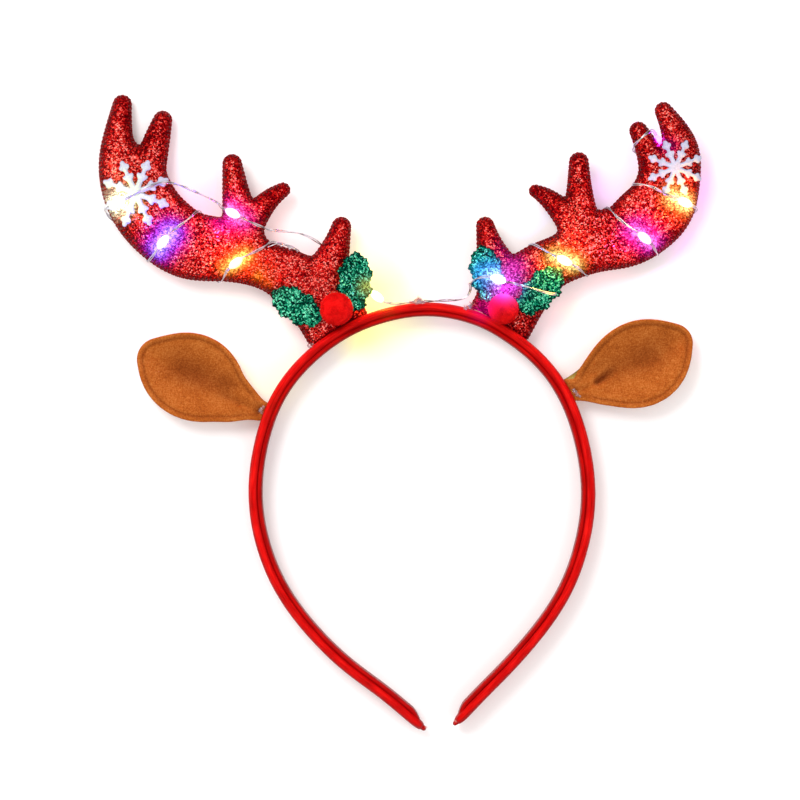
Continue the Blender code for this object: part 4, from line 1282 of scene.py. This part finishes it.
def ear_pad(side):
    """A felt ear: dished, pinched into creases at its root, with a sewn line inside its edge."""
    rows, seat, outward = EAR_PLANS[side]
    x0, y0 = hoop_seat(seat)
    spine = []
    for out, up, width, lift in rows:
        x, y = x0 + outward * out * EAR_LENGTH, y0 + up * EAR_LENGTH
        spine.append((x, y, width * EAR_WIDTH / 2, lift * BAND_WIDTH))
    pad = Pad(
        Limbs([spine], CROTCH_BLEND), ear_heights, 0.0010,
        ((0.0004, 0.0006), (0.0010, 0.0007), (0.0017, 0.0007), (0.0023, 0.0006), (0.0029, 0.0007)),
    )
    root, tip = np.array(spine[1][:2]), np.array(spine[-2][:2])
    axis = (tip - root) / np.linalg.norm(tip - root)
    aside = np.array([-axis[1], axis[0]]) * outward
    local = np.column_stack([(pad.points - root) @ axis, (pad.points - root) @ aside]) / EAR_LENGTH
    seam = np.exp(-(((pad.depth - EAR_SEAM) / 0.00050) ** 2))
    roll = np.exp(-(((pad.depth - 0.0010) / 0.00055) ** 2))
    away_from_root = np.clip(local[:, 0] / 0.12, 0, 1)
    stitch = 0.85 + 0.15 * np.cos(2 * math.pi * pad.along / 0.0020)
    flat = on_level(pad.points)
    ripple = noise_at(flat, 0.009, 4.0 + outward)
    fine = noise_at(flat, 0.0028, 9.0 + outward)
    crease = np.zeros(len(pad.points))
    for x1, y1, x2, y2, depth, width in EAR_CREASES[side]:
        a, b = np.array(on_table(x1, y1)), np.array(on_table(x2, y2))
        share = np.clip((pad.points - a) @ (b - a) / ((b - a) @ (b - a)), 0, 1)
        off = np.linalg.norm(pad.points - a - share[:, None] * (b - a), axis=1)
        crease += depth * (1 - share) ** 0.6 * np.exp(-((off / width) ** 2))
        crease -= 0.35 * depth * (1 - share) * np.exp(-(((off - 2.2 * width) / width) ** 2))
    for face, sign in (("top", 1), ("bottom", -1)):
        eased = pad.smoothed(2, getattr(pad, face))
        moved = eased + sign * (0.00024 * roll - 0.00055 * seam * stitch) * away_from_root
        moved += 0.00040 * ripple + 0.00010 * fine * sign
        moved -= crease * (1.0 if sign > 0 else 0.7) * np.clip(pad.depth / 0.002, 0, 1)
        setattr(pad, face, moved)
    gap = pad.top - pad.bottom
    pad.bottom = np.where(gap < 0.0009, pad.top - 0.0009, pad.bottom)
    # Painted shade in the seam's groove, in the dish and along the creases, and a painted
    # highlight along the ridge beside the dish, all stored as "inside"
    clear_of_seam = np.clip(np.abs(pad.depth - EAR_SEAM) / 0.0007, 0, 1)
    dish = np.exp(-(((local[:, 0] - 0.60) / 0.20) ** 2) - ((local[:, 1] - 0.03) / 0.13) ** 2)
    ridge = np.exp(-(((local[:, 0] - 0.52) / 0.20) ** 2) - ((local[:, 1] + 0.15) / 0.06) ** 2)
    shade = 0.42 * dish + np.clip(crease, 0, 1) / 0.0022 - 0.10 * ridge
    pad.inside = np.clip(0.40 + 0.55 * clear_of_seam - shade, 0, 1)
    return pad


def seam_stitches(pad, surface, inset, spacing, length, radius, cut):
    """Short threads laid end to end in the groove of a seam."""
    line = closed_even(contour(pad.shape, -inset, RIM_STEP, RIM_TOLERANCE), 0.0002)
    free = outside_hoop(line) > cut
    parts = []
    step = int(round(spacing / 0.0002))
    half = int(round(length / 0.0004))
    for face in (1, -1):
        for i in range(0, len(line) - step, step):
            if not free[i]:
                continue
            run = []
            for j in range(-half, half + 1, max(half // 2, 1)):
                spot = line[(i + j) % len(line)]
                arch = 1 - (j / (half + 0.5)) ** 2
                level = surface.top(*spot) if face > 0 else surface.bottom(*spot)
                run.append((*spot, level + face * (0.5 * arch - 0.35) * 2 * radius))
            parts.append(tube(run, radius, 5))
    return joined(parts)


def make_ears():
    shades = (srgb(122, 56, 14), srgb(164, 84, 26), srgb(196, 118, 54))
    # (0.40, 0.27, 0.18) is the tint of the painted shade
    felt = felt_material("brown_felt", shades, (0.40, 0.27, 0.18))
    thread = thread_material("brown_thread", srgb(110, 50, 14), srgb(150, 76, 26), 0.0003)
    made = []
    for side in ("left", "right"):
        pad = ear_pad(side)
        name = f"{side}_felt_ear"
        obj = dressed(name, pad.mesh(name), felt, "brown_felt", f"{side}_ear")
        points, faces = seam_stitches(
            pad, Surface([obj]), EAR_SEAM, 0.0020, 0.0014, 0.00008, STRAP_THICKNESS / 2 + 0.007
        )
        name = f"{side}_ear_stitches"
        dressed(name, mesh_data(name, points, faces), thread, "brown_felt")
        made.append(obj)
    return made


# Trim
def rounded_loop(loop, turns):
    """The closed loop with its corners cut by the corner-cutting rule."""
    for _ in range(turns):
        ahead = np.roll(loop, -1, axis=0)
        pair = (0.75 * loop + 0.25 * ahead, 0.25 * loop + 0.75 * ahead)
        loop = np.stack(pair, axis=1).reshape(-1, 2)
    return loop


def within(points, loop):
    """Which points lie inside the closed loop."""
    x, y = points[:, 0][:, None], points[:, 1][:, None]
    ax, ay = loop.T
    bx, by = np.roll(loop, -1, axis=0).T
    crosses = (ay > y) != (by > y)
    span = np.where(by == ay, 1e-12, by - ay)
    return (crosses & (x < (bx - ax) * (y - ay) / span + ax)).sum(axis=1) % 2 == 1


def edge_distance(points, loop):
    a, b = loop, np.roll(loop, -1, axis=0)
    span = b - a
    offset = points[:, None] - a[None]
    share = np.clip((offset * span).sum(axis=2) / np.maximum((span**2).sum(axis=1), 1e-14), 0, 1)
    return np.linalg.norm(offset - share[..., None] * span, axis=2).min(axis=1)


def cut_out(loop, spacing, inset):
    """(points, faces, rim length, edge distances) of a flat piece filled with an even grid."""
    low, high = loop.min(axis=0), loop.max(axis=0)
    grid = hex_grid(low, high, spacing)
    grid = grid[within(grid, loop)]
    grid = grid[edge_distance(grid, loop) > inset]
    points, faces = filled(loop, grid)
    return points, faces, len(loop), edge_distance(points, loop)


def trim_mesh(name, points, faces, rim, bottom, top, inside):
    shape = slab(points, faces, rim, bottom, top)
    mesh = bpy.data.meshes.new(name)
    shape.to_mesh(mesh)
    shape.free()
    mesh.shade_smooth()
    mesh.set_sharp_from_angle(angle=math.radians(60))
    float_attribute(mesh, "inside", np.tile(inside, 2)[: len(mesh.vertices)])
    return mesh


def turned(points, degrees):
    angle = math.radians(degrees)
    spin = np.array([[math.cos(angle), math.sin(angle)], [-math.sin(angle), math.cos(angle)]])
    return points @ spin


# Half of one snowflake arm, from its root to its tip.
# along: share of the radius, side: share of the radius
FINE_HALF_ARM = (
    (0.24, 0.080), (0.34, 0.070), (0.40, 0.084), (0.45, 0.130), (0.53, 0.168), (0.57, 0.140),
    (0.57, 0.090), (0.58, 0.056), (0.68, 0.050), (0.72, 0.080), (0.75, 0.138), (0.83, 0.154),
    (0.87, 0.112), (0.89, 0.074), (0.97, 0.060),
)


def flake_outline(radius):
    arm = 360 / SNOWFLAKE_ARMS
    points = []
    for k in range(SNOWFLAKE_ARMS):
        middle = math.radians(arm * (k + 0.5))
        along = np.array([math.cos(middle), math.sin(middle)])
        across = np.array([-along[1], along[0]])
        points += [along * a * radius - across * s * radius for a, s in FINE_HALF_ARM]
        points += [along * radius * 1.01]
        points += [along * a * radius + across * s * radius for a, s in FINE_HALF_ARM[::-1]]
        turn = math.radians(arm * (k + 1))
        points += [0.20 * radius * np.array([math.cos(turn), math.sin(turn)])]
    return np.array(points)


def make_snowflakes(surface):
    shades = (srgb(158, 158, 184), srgb(186, 186, 206), srgb(206, 208, 222))
    # (0.86, 0.84, 0.92) is the tint of the painted shade
    felt = felt_material("white_felt", shades, (0.86, 0.84, 0.92), 0.004, True)
    made = {}
    for node, side, out, up, turn, size in SNOWFLAKES:
        loop = rounded_loop(flake_outline(SNOWFLAKE_RADIUS * size), 1)
        loop = closed_even(turned(loop, turn) + antler_point(side, out, up), 0.00030)
        points, faces, rim, edge = cut_out(loop, 0.0007, 0.00028)
        rest = np.array([surface.rest(*p, 0.0006) for p in points]) + 0.00015
        flat = on_level(points)
        rest += 0.00012 * (1 + noise_at(flat, 0.004, 2.0))
        round_off = 0.35 * np.clip(1 - edge / 0.00035, 0, 1) ** 2
        fuzz = 0.00004 * noise_at(flat, 0.0012, 5.0)
        top = rest + SNOWFLAKE_THICKNESS * (0.8 - round_off) + fuzz
        name = f"{side}_felt_snowflake"
        # Painted shade along the flake's edge, through "inside"
        mesh = trim_mesh(name, points, faces, rim, rest, top, np.clip(edge / 0.0004, 0, 1))
        obj = dressed(name, mesh, felt, "white_felt", node)
        made[side] = obj
    return made


def leaf_loop(length, width, seed):
    """A holly leaf's outline: broad lobes with small cut teeth between them."""
    loop = closed_even(rounded_loop(leaf_outline(length, width), 1), 0.00025)
    normals = loop_normals(loop)
    at = np.arange(len(loop)) * 0.00025
    teeth = np.abs(((at / 0.0017) % 1.0) - 0.5) * 2
    ragged = np.array([noise.noise(Vector((a / 0.0013, seed, 0))) for a in at])
    return loop + normals * (0.00050 * teeth + 0.00026 * ragged - 0.00018)[:, None]


def make_leaves(surface):
    cloth = glitter_material("green_glitter_cloth", GREEN_SHADES, 0.00054)
    made = []
    for number, (node, side, out, up, turn, size) in enumerate(LEAVES):
        length, width = LEAF_LENGTH * size, LEAF_WIDTH * size
        loop = leaf_loop(length, width, 3.0 * number)
        points, faces, rim, edge = cut_out(loop, 0.0007, 0.0003)
        along, across = points[:, 0] / length, np.abs(points[:, 1])
        vein = np.exp(-((across / 0.0006) ** 2)) * np.clip(1 - along, 0, 1)
        ribs = np.exp(-(((across / (0.5 * width) * 1.3 - (along * 5 % 1)) / 0.18) ** 2))
        flat = on_level(points, number * 0.05)
        curl = 0.0005 * noise_at(flat, 0.008, 6.0 + number)
        fold = LEAF_FOLD * across
        placed_points = turned(points, turn) + antler_point(side, out, up)
        rest = laid_flat(placed_points, surface) + fold + curl + 0.0004
        floor = np.array([surface.top(*p) for p in placed_points]) + 0.0001
        rest = np.maximum(rest, floor)
        top = rest + LEAF_THICKNESS * 0.8 - 0.00022 * vein - 0.00008 * ribs
        top -= 0.0003 * np.clip(1 - edge / 0.0004, 0, 1) ** 2
        name = f"{node}_cloth"
        # Painted shade towards the leaf's cut edge, through "inside"
        inside = np.clip(0.45 + edge / 0.0012, 0, 1)
        mesh = trim_mesh(name, placed_points, faces, rim, rest, top, inside)
        obj = dressed(name, mesh, cloth, "green_glitter_cloth", node)
        made.append(obj)
    return made


def ball(radius, rounds):
    """(points, faces) of a ball of near-equal triangles."""
    shape = bmesh.new()
    bmesh.ops.create_icosphere(shape, subdivisions=rounds, radius=radius)
    points = np.array([tuple(v.co) for v in shape.verts])
    faces = [tuple(v.index for v in f.verts) for f in shape.faces]
    shape.free()
    return points, faces


def spikes(corners):
    """(points, faces) of thin closed fibres, each three root points and a tip."""
    count = len(corners)
    a, b, c = (corners[:, i] - corners[:, 3] for i in range(3))
    inward = (np.cross(a, b) * c).sum(axis=1) > 0
    corners = corners.copy()
    corners[inward] = corners[inward][:, [1, 0, 2, 3]]
    faces = []
    for i in range(0, 4 * count, 4):
        faces += [(i, i + 1, i + 2), (i, i + 3, i + 1), (i + 1, i + 3, i + 2), (i + 2, i + 3, i)]
    return corners.reshape(-1, 3), faces


def make_pompoms(surface):
    """Balls of short dense fibres over a round core."""
    shades = (srgb(220, 6, 8), srgb(244, 14, 14), srgb(255, 34, 28))
    # (0.70, 0.46, 0.46) is the tint of the painted shade
    yarn = felt_material("red_yarn", shades, (0.70, 0.46, 0.46), 0.003, True)
    made = []
    for node, side, out, up, size in POMPOMS:
        radius = POMPOM_RADIUS * size
        x, y = antler_point(side, out, up)
        low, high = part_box(node)
        seat = surface.rest(x, y, radius * 0.4) + radius * POMPOM_SQUASH * 0.92
        centre = np.array([x, y, min((low.z + high.z) / 2, seat)])
        squash = np.array([1, 1, POMPOM_SQUASH])
        core_points, core_faces = ball(radius * 0.97, 4)
        lumps = 1 + 0.05 * noise_at(core_points, radius * 0.5, 3.0)
        core_points = core_points * lumps[:, None] * squash + centre
        parts = [(core_points, core_faces)]
        draw = np.random.default_rng(11 if side == "left" else 12)
        count = FIBRES
        heads = unit_rows(draw.normal(size=(count, 3)))
        lean = unit_rows(heads + 0.55 * draw.normal(size=(count, 3)))
        across = unit_rows(np.cross(lean, draw.normal(size=(count, 3))))
        tall = radius * draw.uniform(0.06, 0.16, (count, 1))
        wide = 0.00007
        root = heads * radius * 0.95
        tip = root + lean * tall
        third = np.cross(lean, across) * wide * 1.4
        corners = [root - across * wide, root + across * wide, root + third, tip]
        parts.append(spikes(np.stack(corners, axis=1) * squash + centre))
        points, faces = joined(parts)
        name = f"{side}_yarn_pompom"
        mesh = mesh_data(name, points, faces)
        # Painted shade: the core and the fibres' roots darker than their tips, through "inside"
        fibre = np.tile([0.5, 0.5, 0.5, 1.0], count)
        shade = np.concatenate([np.full(len(core_points), 0.4), fibre])
        float_attribute(mesh, "inside", shade)
        made.append(dressed(name, mesh, yarn, "red_wool", node))
    return made


# Glue, frayed ends and loose folds
# Lumps of clear glue: pixel across and down in the photograph, radius
GLUE_LUMPS = {
    "left_ear_glue": (
        (261.5, 409.5, 0.0009), (259.5, 411.0, 0.0006),
        (263.2, 406.8, 0.0007), (261.5, 413.0, 0.0006),
    ),
    "right_ear_glue": (
        (575.5, 392.0, 0.0008), (577.5, 394.5, 0.0007),
        (574.0, 389.5, 0.0006), (580.0, 396.0, 0.0005),
    ),
    "left_antler_glue": ((309.0, 345.5, 0.0007), (311.5, 347.0, 0.0006), (313.0, 344.0, 0.0005)),
    "right_antler_glue": ((468.5, 308.2, 0.0010), (472.0, 305.6, 0.0008), (465.5, 309.0, 0.0007)),
    "hairband_glue": (
        (413.5, 303.0, 0.0008), (417.0, 301.8, 0.0011),
        (419.5, 301.0, 0.0010), (423.0, 303.0, 0.0008),
    ),
}
# Frayed cloth: from and to in pixels, the way it points in degrees, fibres, longest
FRAYS = {
    "hairband_fray": (
        ((410, 302.8), (425, 303.0), 92, 110, 0.0014),
        ((417, 301.0), (420.5, 301.0), 80, 60, 0.0022),
        ((425.5, 727.0), (424.0, 728.5), -50, 14, 0.0012),
        ((455.0, 720.0), (457.0, 721.5), -120, 14, 0.0012),
    ),
    "left_antler_fray": (
        ((306, 335), (314, 345), 30, 40, 0.0012),
        ((310, 344), (316, 340), 70, 40, 0.0010),
    ),
    "right_antler_fray": (
        ((465, 307), (476, 310), 140, 50, 0.0014),
        ((470, 303), (480, 308), 110, 50, 0.0014),
        ((488, 313), (512, 327), 80, 40, 0.0010),
    ),
}
# The cut edge of the right antler's cloth, in pixels
CUT_EDGE = ((467, 305.6), (471, 308.0), (476, 310.2), (481, 312.2), (487, 315.2))
# The part of the right ear's back layer that shows beside its root, in pixels
BACK_FOLD = (
    (563, 380), (568, 377.5), (576, 372), (583, 366),
    (585, 371), (580, 380), (575, 388), (568, 386),
)
BACK_FOLD_LEVELS = (0.0046, 0.0056)


def lump(middle, radius, rough, squash, rounds, seed):
    """(points, faces) of an uneven ball."""
    points, faces = ball(radius, rounds)
    points *= (1 + rough * noise_at(points, radius * 0.6, seed))[:, None]
    return points * np.array([1, 1, squash]) + middle, faces


def fray(start, end, turn, count, longest, surface, draw):
    """Short uneven fibres that stand out along a line."""
    share = draw.uniform(0, 1, (count, 1))
    place = np.array(on_table(*start)) * (1 - share) + np.array(on_table(*end)) * share
    tops = np.array([surface.top(*p) for p in place])[:, None]
    heights = tops - draw.uniform(0.0, 0.0012, (count, 1))
    root = np.column_stack([place, heights])
    angle = math.radians(turn) + 0.5 * draw.normal(size=count)
    lean = np.column_stack([np.cos(angle), np.sin(angle), 0.35 * draw.normal(size=count)])
    across = unit_rows(np.cross(lean, (0.0, 0.0, 1.0)))
    wide = 0.00008
    tall = longest * draw.uniform(0.3, 1.0, (count, 1))
    third, tip = root + (0, 0, 1.4 * wide), root + lean * tall
    corners = [root - across * wide, root + across * wide, third, tip]
    return spikes(np.stack(corners, axis=1))


def make_trim(surface):
    glue = clear_material("clear_glue", (1.0, 0.74, 0.76))
    for number, (name, rows) in enumerate(GLUE_LUMPS.items()):
        parts = []
        for k, (across, down, radius) in enumerate(rows):
            x, y = on_table(across, down)
            middle = np.array([x, y, surface.top(x, y) - 0.2 * radius])
            parts.append(lump(middle, radius, 0.45, 0.75, 3, 5.0 * number + k))
        dressed(name, mesh_data(name, *joined(parts)), glue)
    frayed = thread_material("frayed_thread", srgb(196, 50, 50), srgb(255, 178, 166), 0.0012)
    draw = np.random.default_rng(21)
    for name, rows in FRAYS.items():
        parts = [fray(*row, surface, draw) for row in rows]
        if name == "right_antler_fray":
            spots = [on_table(*spot) for spot in CUT_EDGE]
            run = smooth_path([(x, y, surface.top(x, y) + 0.0001) for x, y in spots], 0.0004)
            parts.append(tube(run, 0.00016, 6))
        dressed(name, mesh_data(name, *joined(parts)), frayed)
    shades = (srgb(128, 108, 44), srgb(164, 144, 70), srgb(196, 178, 104))
    # (0.62, 0.52, 0.36) is the tint of the painted shade
    olive = felt_material("olive_felt", shades, (0.62, 0.52, 0.36))
    loop = closed_even(rounded_loop(np.array([on_table(*spot) for spot in BACK_FOLD]), 2), 0.0004)
    points, faces, rim, edge = cut_out(loop, 0.0008, 0.0003)
    flat = on_level(points)
    wave = 0.0004 * noise_at(flat, 0.003, 3.0)
    low, high = (level + wave for level in BACK_FOLD_LEVELS)
    name = "right_ear_back_fold"
    # Painted shade towards the fold's edge, through "inside"
    inside = np.clip(edge / 0.0008, 0, 1)
    dressed(name, trim_mesh(name, points, faces, rim, low, high, inside), olive)


# String of lights
# For each drop along the route: the colour close to it, the colour further out, how far each
# reaches and how strong the outer one is
GLOWS = {
    "left": (
        ((255, 250, 200), (255, 236, 60), 0.0022, 0.0034, 0.7),
        ((255, 190, 250), (235, 10, 190), 0.0018, 0.0040, 1.3),
        ((255, 255, 226), (206, 222, 60), 0.0034, 0.0044, 1.2),
        ((200, 206, 255), (84, 26, 255), 0.0023, 0.0044, 2.2),
        ((255, 246, 120), (255, 110, 8), 0.0021, 0.0037, 1.4),
    ),
    "right": (
        ((214, 236, 255), (40, 120, 255), 0.0022, 0.0046, 1.4),
        ((255, 254, 180), (255, 206, 60), 0.0021, 0.0035, 1.3),
        ((255, 190, 250), (226, 20, 220), 0.0019, 0.0042, 1.4),
        ((255, 252, 170), (255, 160, 20), 0.0026, 0.0039, 1.7),
        ((190, 130, 255), (150, 20, 200), 0.0014, 0.0026, 0.8),
    ),
}
# Light that falls further along the cloth: pixel across and down, colour, reach, strength
STRAY_GLOWS = (
    (261, 274, (255, 110, 10), 0.0050, 0.30),
    (514, 268, (226, 50, 220), 0.0042, 0.60),
    (510, 284, (240, 40, 230), 0.0032, 0.60),
    (481, 272, (70, 190, 255), 0.0034, 0.45),
    (501, 290, (245, 0, 215), 0.0036, 1.30),
    (482, 309, (240, 0, 170), 0.0034, 0.60),
    (262, 399, (255, 90, 40), 0.0060, 0.10),
    (506, 250, (90, 0, 130), 0.0044, 0.55),
    (669, 148, (150, 0, 140), 0.0030, 0.5),
    (690, 212, (255, 40, 0), 0.0050, 0.45),
    (366, 286, (225, 235, 110), 0.0026, 0.40),
    (258, 276, (255, 150, 20), 0.0018, 0.50),
    (268, 284, (255, 120, 30), 0.0016, 0.40),
    (222, 222, (235, 10, 180), 0.0040, 0.45),
    (168, 236, (120, 20, 230), 0.0052, 0.40),
    (116, 203, (250, 250, 224), 0.0042, 1.60),
)
DROP_SLOTS = {
    "left": ("warm_drop", "pink_drop", "cream_drop", "violet_drop", "amber_drop"),
    "right": ("blue_drop", "warm_drop", "pink_drop", "amber_drop", "violet_drop"),
}
STRAND_RADIUS = 0.00020
STRAND_APART = 0.00030
TWIST_LENGTH = 0.020
# Loose turns of one strand: pixel across and down in the photograph, and height
STRAND_CURLS = (
    ((268, 247.5, 0.013), (273, 245.6, 0.0135), (278, 243.8, 0.013), (282, 243.2, 0.012),
     (286, 244.6, 0.011), (288.5, 247.5, 0.010), (290, 251.5, 0.009)),
    ((281, 247.0, 0.0125), (285, 245.2, 0.0125), (289, 245.0, 0.0120), (293, 246.4, 0.0110),
     (296, 249.2, 0.0100), (297.4, 253, 0.0090)),
)


def wire_strands(path):
    """Two thin strands that twist slowly round the path."""
    fine = resampled(path, int(path_lengths(path)[-1] / 0.0004))
    for _ in range(4):
        fine[1:-1] = (fine[:-2] + 2 * fine[1:-1] + fine[2:]) / 4
    sides, tops = frames_along(fine)
    at = path_lengths(fine)
    parts = []
    for start in (0.0, math.pi):
        turn = start + 2 * math.pi * at / TWIST_LENGTH + 0.8 * np.sin(at / 0.006)
        offset = STRAND_APART * (np.cos(turn)[:, None] * sides + np.sin(turn)[:, None] * tops)
        parts.append(tube(fine + offset, STRAND_RADIUS, 6))
    return joined(parts)


def drop_mesh(name, middle, direction):
    """A bead of resin round the wire, fuller on one side and drawn out along the strands."""
    stations, around = 17, 20
    direction = Vector(direction).normalized()
    turn = direction.to_track_quat("Z", "Y").to_matrix()
    points = []
    for i in range(stations):
        t = 2 * i / (stations - 1) - 1
        width = (1 - abs(t) ** 2.3) ** 0.8 * 0.86 + 0.14
        for j in range(around):
            angle = 2 * math.pi * j / around
            r = DROP_DIAMETER / 2 * width * (1 + 0.06 * math.cos(2 * angle + t))
            local = Vector((r * math.cos(angle), r * math.sin(angle), t * DROP_LENGTH / 2))
            points.append(tuple(turn @ local + Vector(middle)))
    return mesh_data(name, points, ring_faces(stations, around))


def make_lights(carriers, surface):
    silver = metal_material("silver_wire", srgb(222, 220, 226))
    lamps = []
    for side, route in (("left", LEFT_ROUTE), ("right", RIGHT_ROUTE)):
        path, centres = wound_path(route, side, carriers, surface)
        path, places = straightened(path, centres)
        name = f"{side}_twin_wire"
        strands = [wire_strands(path)]
        if side == "left":
            for curl in STRAND_CURLS:
                run = [(*on_table(across, down), height) for across, down, height in curl]
                strands.append(tube(smooth_path(run, 0.0003), STRAND_RADIUS, 6))
        points, faces = joined(strands)
        dressed(name, mesh_data(name, points, faces), silver, "silver_wire", f"{side}_light_wire")
        rows = zip(places, GLOWS[side], DROP_SLOTS[side])
        for number, ((middle, direction), lamp, slot) in enumerate(rows, 1):
            core, glow, near, far, power = lamp
            name = f"{side}_lamp_{number}"
            finish = lit_material(name + "_glow", srgb(*glow), [2.0 * c for c in srgb(*core)])
            drop = drop_mesh(name, middle, direction)
            dressed(name, drop, finish, slot, f"{side}_light_drop_{number}")
            half = np.array(direction) / np.linalg.norm(direction) * DROP_LENGTH * 0.7
            tints = np.array(srgb(*core)), power * np.array(srgb(*glow))
            lamps.append((np.array(middle), half, *tints, near, far))
            light = bpy.data.lights.new(name + "_light", "POINT")
            light.color = srgb(*glow)
            light.energy = 0.010 * power
            light.shadow_soft_size = 0.0015
            above = Vector((0, 0, DROP_DIAMETER / 2 + LAMP_RISE))
            put(name + "_light", light, Vector(middle) + above)
    return lamps


def glowed(objects, lamps, share=1.0):
    """Stores on each point of the pieces the coloured light that nearby lamps cast on it."""
    for obj in objects:
        co = np.array([tuple(v.co) for v in obj.data.vertices])
        total = np.zeros((len(co), 3))
        for middle, half, core, glow, near, far in lamps:
            along = np.clip((co - middle) @ half / (half @ half), -1, 1)
            apart = np.linalg.norm(co - middle - along[:, None] * half, axis=1)
            total += glow * np.exp(-((apart / far) ** 2))[:, None]
            total += 3.0 * core * np.exp(-((apart / near) ** 2))[:, None]
        for across, down, tint, reach, power in STRAY_GLOWS:
            apart = np.linalg.norm(co[:, :2] - np.array(on_table(across, down)), axis=1)
            near = np.exp(-((apart / reach) ** 2)) * np.clip((co[:, 2] - 0.004) / 0.004, 0, 1)
            total += power * np.array(srgb(*tint)) * near[:, None]
        color_attribute(obj.data, "glow", share * total)


# Studio
# Pools of coloured lamp light painted on the table, as a tint and as light that the table gives
# off: pixel across and down in the photograph, colour, reach
TABLE_TINTS = (
    (386, 286, (255, 252, 168), 0.0100),
    (376, 258, (255, 253, 210), 0.0130),
    (364, 332, (255, 250, 150), 0.0080),
    (388, 340, (255, 253, 200), 0.0140),
    (268, 372, (255, 252, 214), 0.0120),
    (208, 196, (255, 206, 220), 0.0090),
    (286, 226, (255, 226, 226), 0.0110),
    (150, 300, (255, 226, 228), 0.0110),
    (226, 318, (255, 232, 226), 0.0110),
    (600, 190, (244, 206, 255), 0.0080),
    (704, 190, (250, 196, 252), 0.0100),
    (694, 245, (246, 204, 248), 0.0090),
    (610, 292, (255, 224, 228), 0.0110),
    (570, 318, (255, 222, 222), 0.0090),
    (452, 300, (255, 226, 240), 0.0080),
)


def make_studio():
    s = Shader("table_top")
    color = s.mix(s.noise(0.5, 1.0), (0.84, 0.84, 0.84), (0.86, 0.86, 0.86))
    light = s.vector("SCALE", (0.16, 0.13, 0.128), scale=1.0)
    for across, down, tint, reach in TABLE_TINTS:
        x, y = on_table(across, down)
        away = s.vector("LENGTH", s.vector("SUBTRACT", s.place, (x, y, 0.0)))
        square = s.math("POWER", s.math("DIVIDE", away, reach), 2.0)
        spot = s.math("POWER", 2.718, s.math("MULTIPLY", square, -1.0))
        # Painted lamp light: the table is tinted and gives off light round each spot
        color = s.mix(spot, color, s.mix(1.0, color, srgb(*tint), "MULTIPLY"))
        more = s.vector("SCALE", tuple(0.30 * c for c in srgb(*tint)), scale=spot)
        light = s.vector("ADD", light, more)
    finish = s.finish(
        Base_Color=color, Roughness=0.8, Emission_Color=light, Emission_Strength=1.0
    )
    corners = [(-2, -2, 0), (2, -2, 0), (2, 2, 0), (-2, 2, 0)]
    mesh = mesh_data("table_top", corners, [(0, 1, 2, 3)], False)
    mesh.materials.append(finish)
    put("table_top", mesh, (0, 0, TABLE_LEVEL))

    world = bpy.data.worlds.new("studio")
    bpy.context.scene.world = world
    world.use_nodes = True
    background = world.node_tree.nodes["Background"]
    background.inputs["Color"].default_value = (1.0, 0.99, 0.98, 1.0)
    background.inputs["Strength"].default_value = 0.92

    for name, place, size, power in (
        ("key_light", (-0.50, 0.55, 0.95), 0.6, 8.0),
        ("fill_light", (0.7, -0.5, 0.9), 0.9, 2.0),
    ):
        light = bpy.data.lights.new(name, "AREA")
        light.shape = "DISK"
        light.size = size
        light.energy = power
        holder = put(name, light, place)
        aim = Vector((VIEW_CENTRE[0], VIEW_CENTRE[1], 0)) - Vector(place)
        holder.rotation_euler = aim.to_track_quat("-Z", "Y").to_euler()

    data = bpy.data.cameras.new("camera")
    data.sensor_width = SENSOR
    data.lens = SENSOR * (CAMERA_HEIGHT - BAND_WIDTH) / VIEW_SIZE
    data.clip_start = 0.01
    bpy.context.scene.camera = put("camera", data, (*VIEW_CENTRE, CAMERA_HEIGHT))
    bpy.context.scene.view_settings.view_transform = "Standard"


def main():
    make_studio()
    band = make_hairband()
    antlers = make_antlers()
    ears = make_ears()
    bpy.context.view_layer.update()
    carriers = Surface(antlers.values())
    flakes = make_snowflakes(carriers)
    leaves = make_leaves(carriers)
    bpy.context.view_layer.update()
    pompoms = make_pompoms(Surface([*antlers.values(), *leaves]))
    bpy.context.view_layer.update()
    everything = Surface([*band, *antlers.values(), *flakes.values(), *leaves, *pompoms])
    lamps = make_lights(carriers, everything)
    make_trim(Surface([*band, *antlers.values(), *ears]))
    glowed([*antlers.values(), *leaves, *pompoms], lamps)
    glowed(flakes.values(), lamps, 0.14)
    glowed(band, lamps, 0.5)


main()
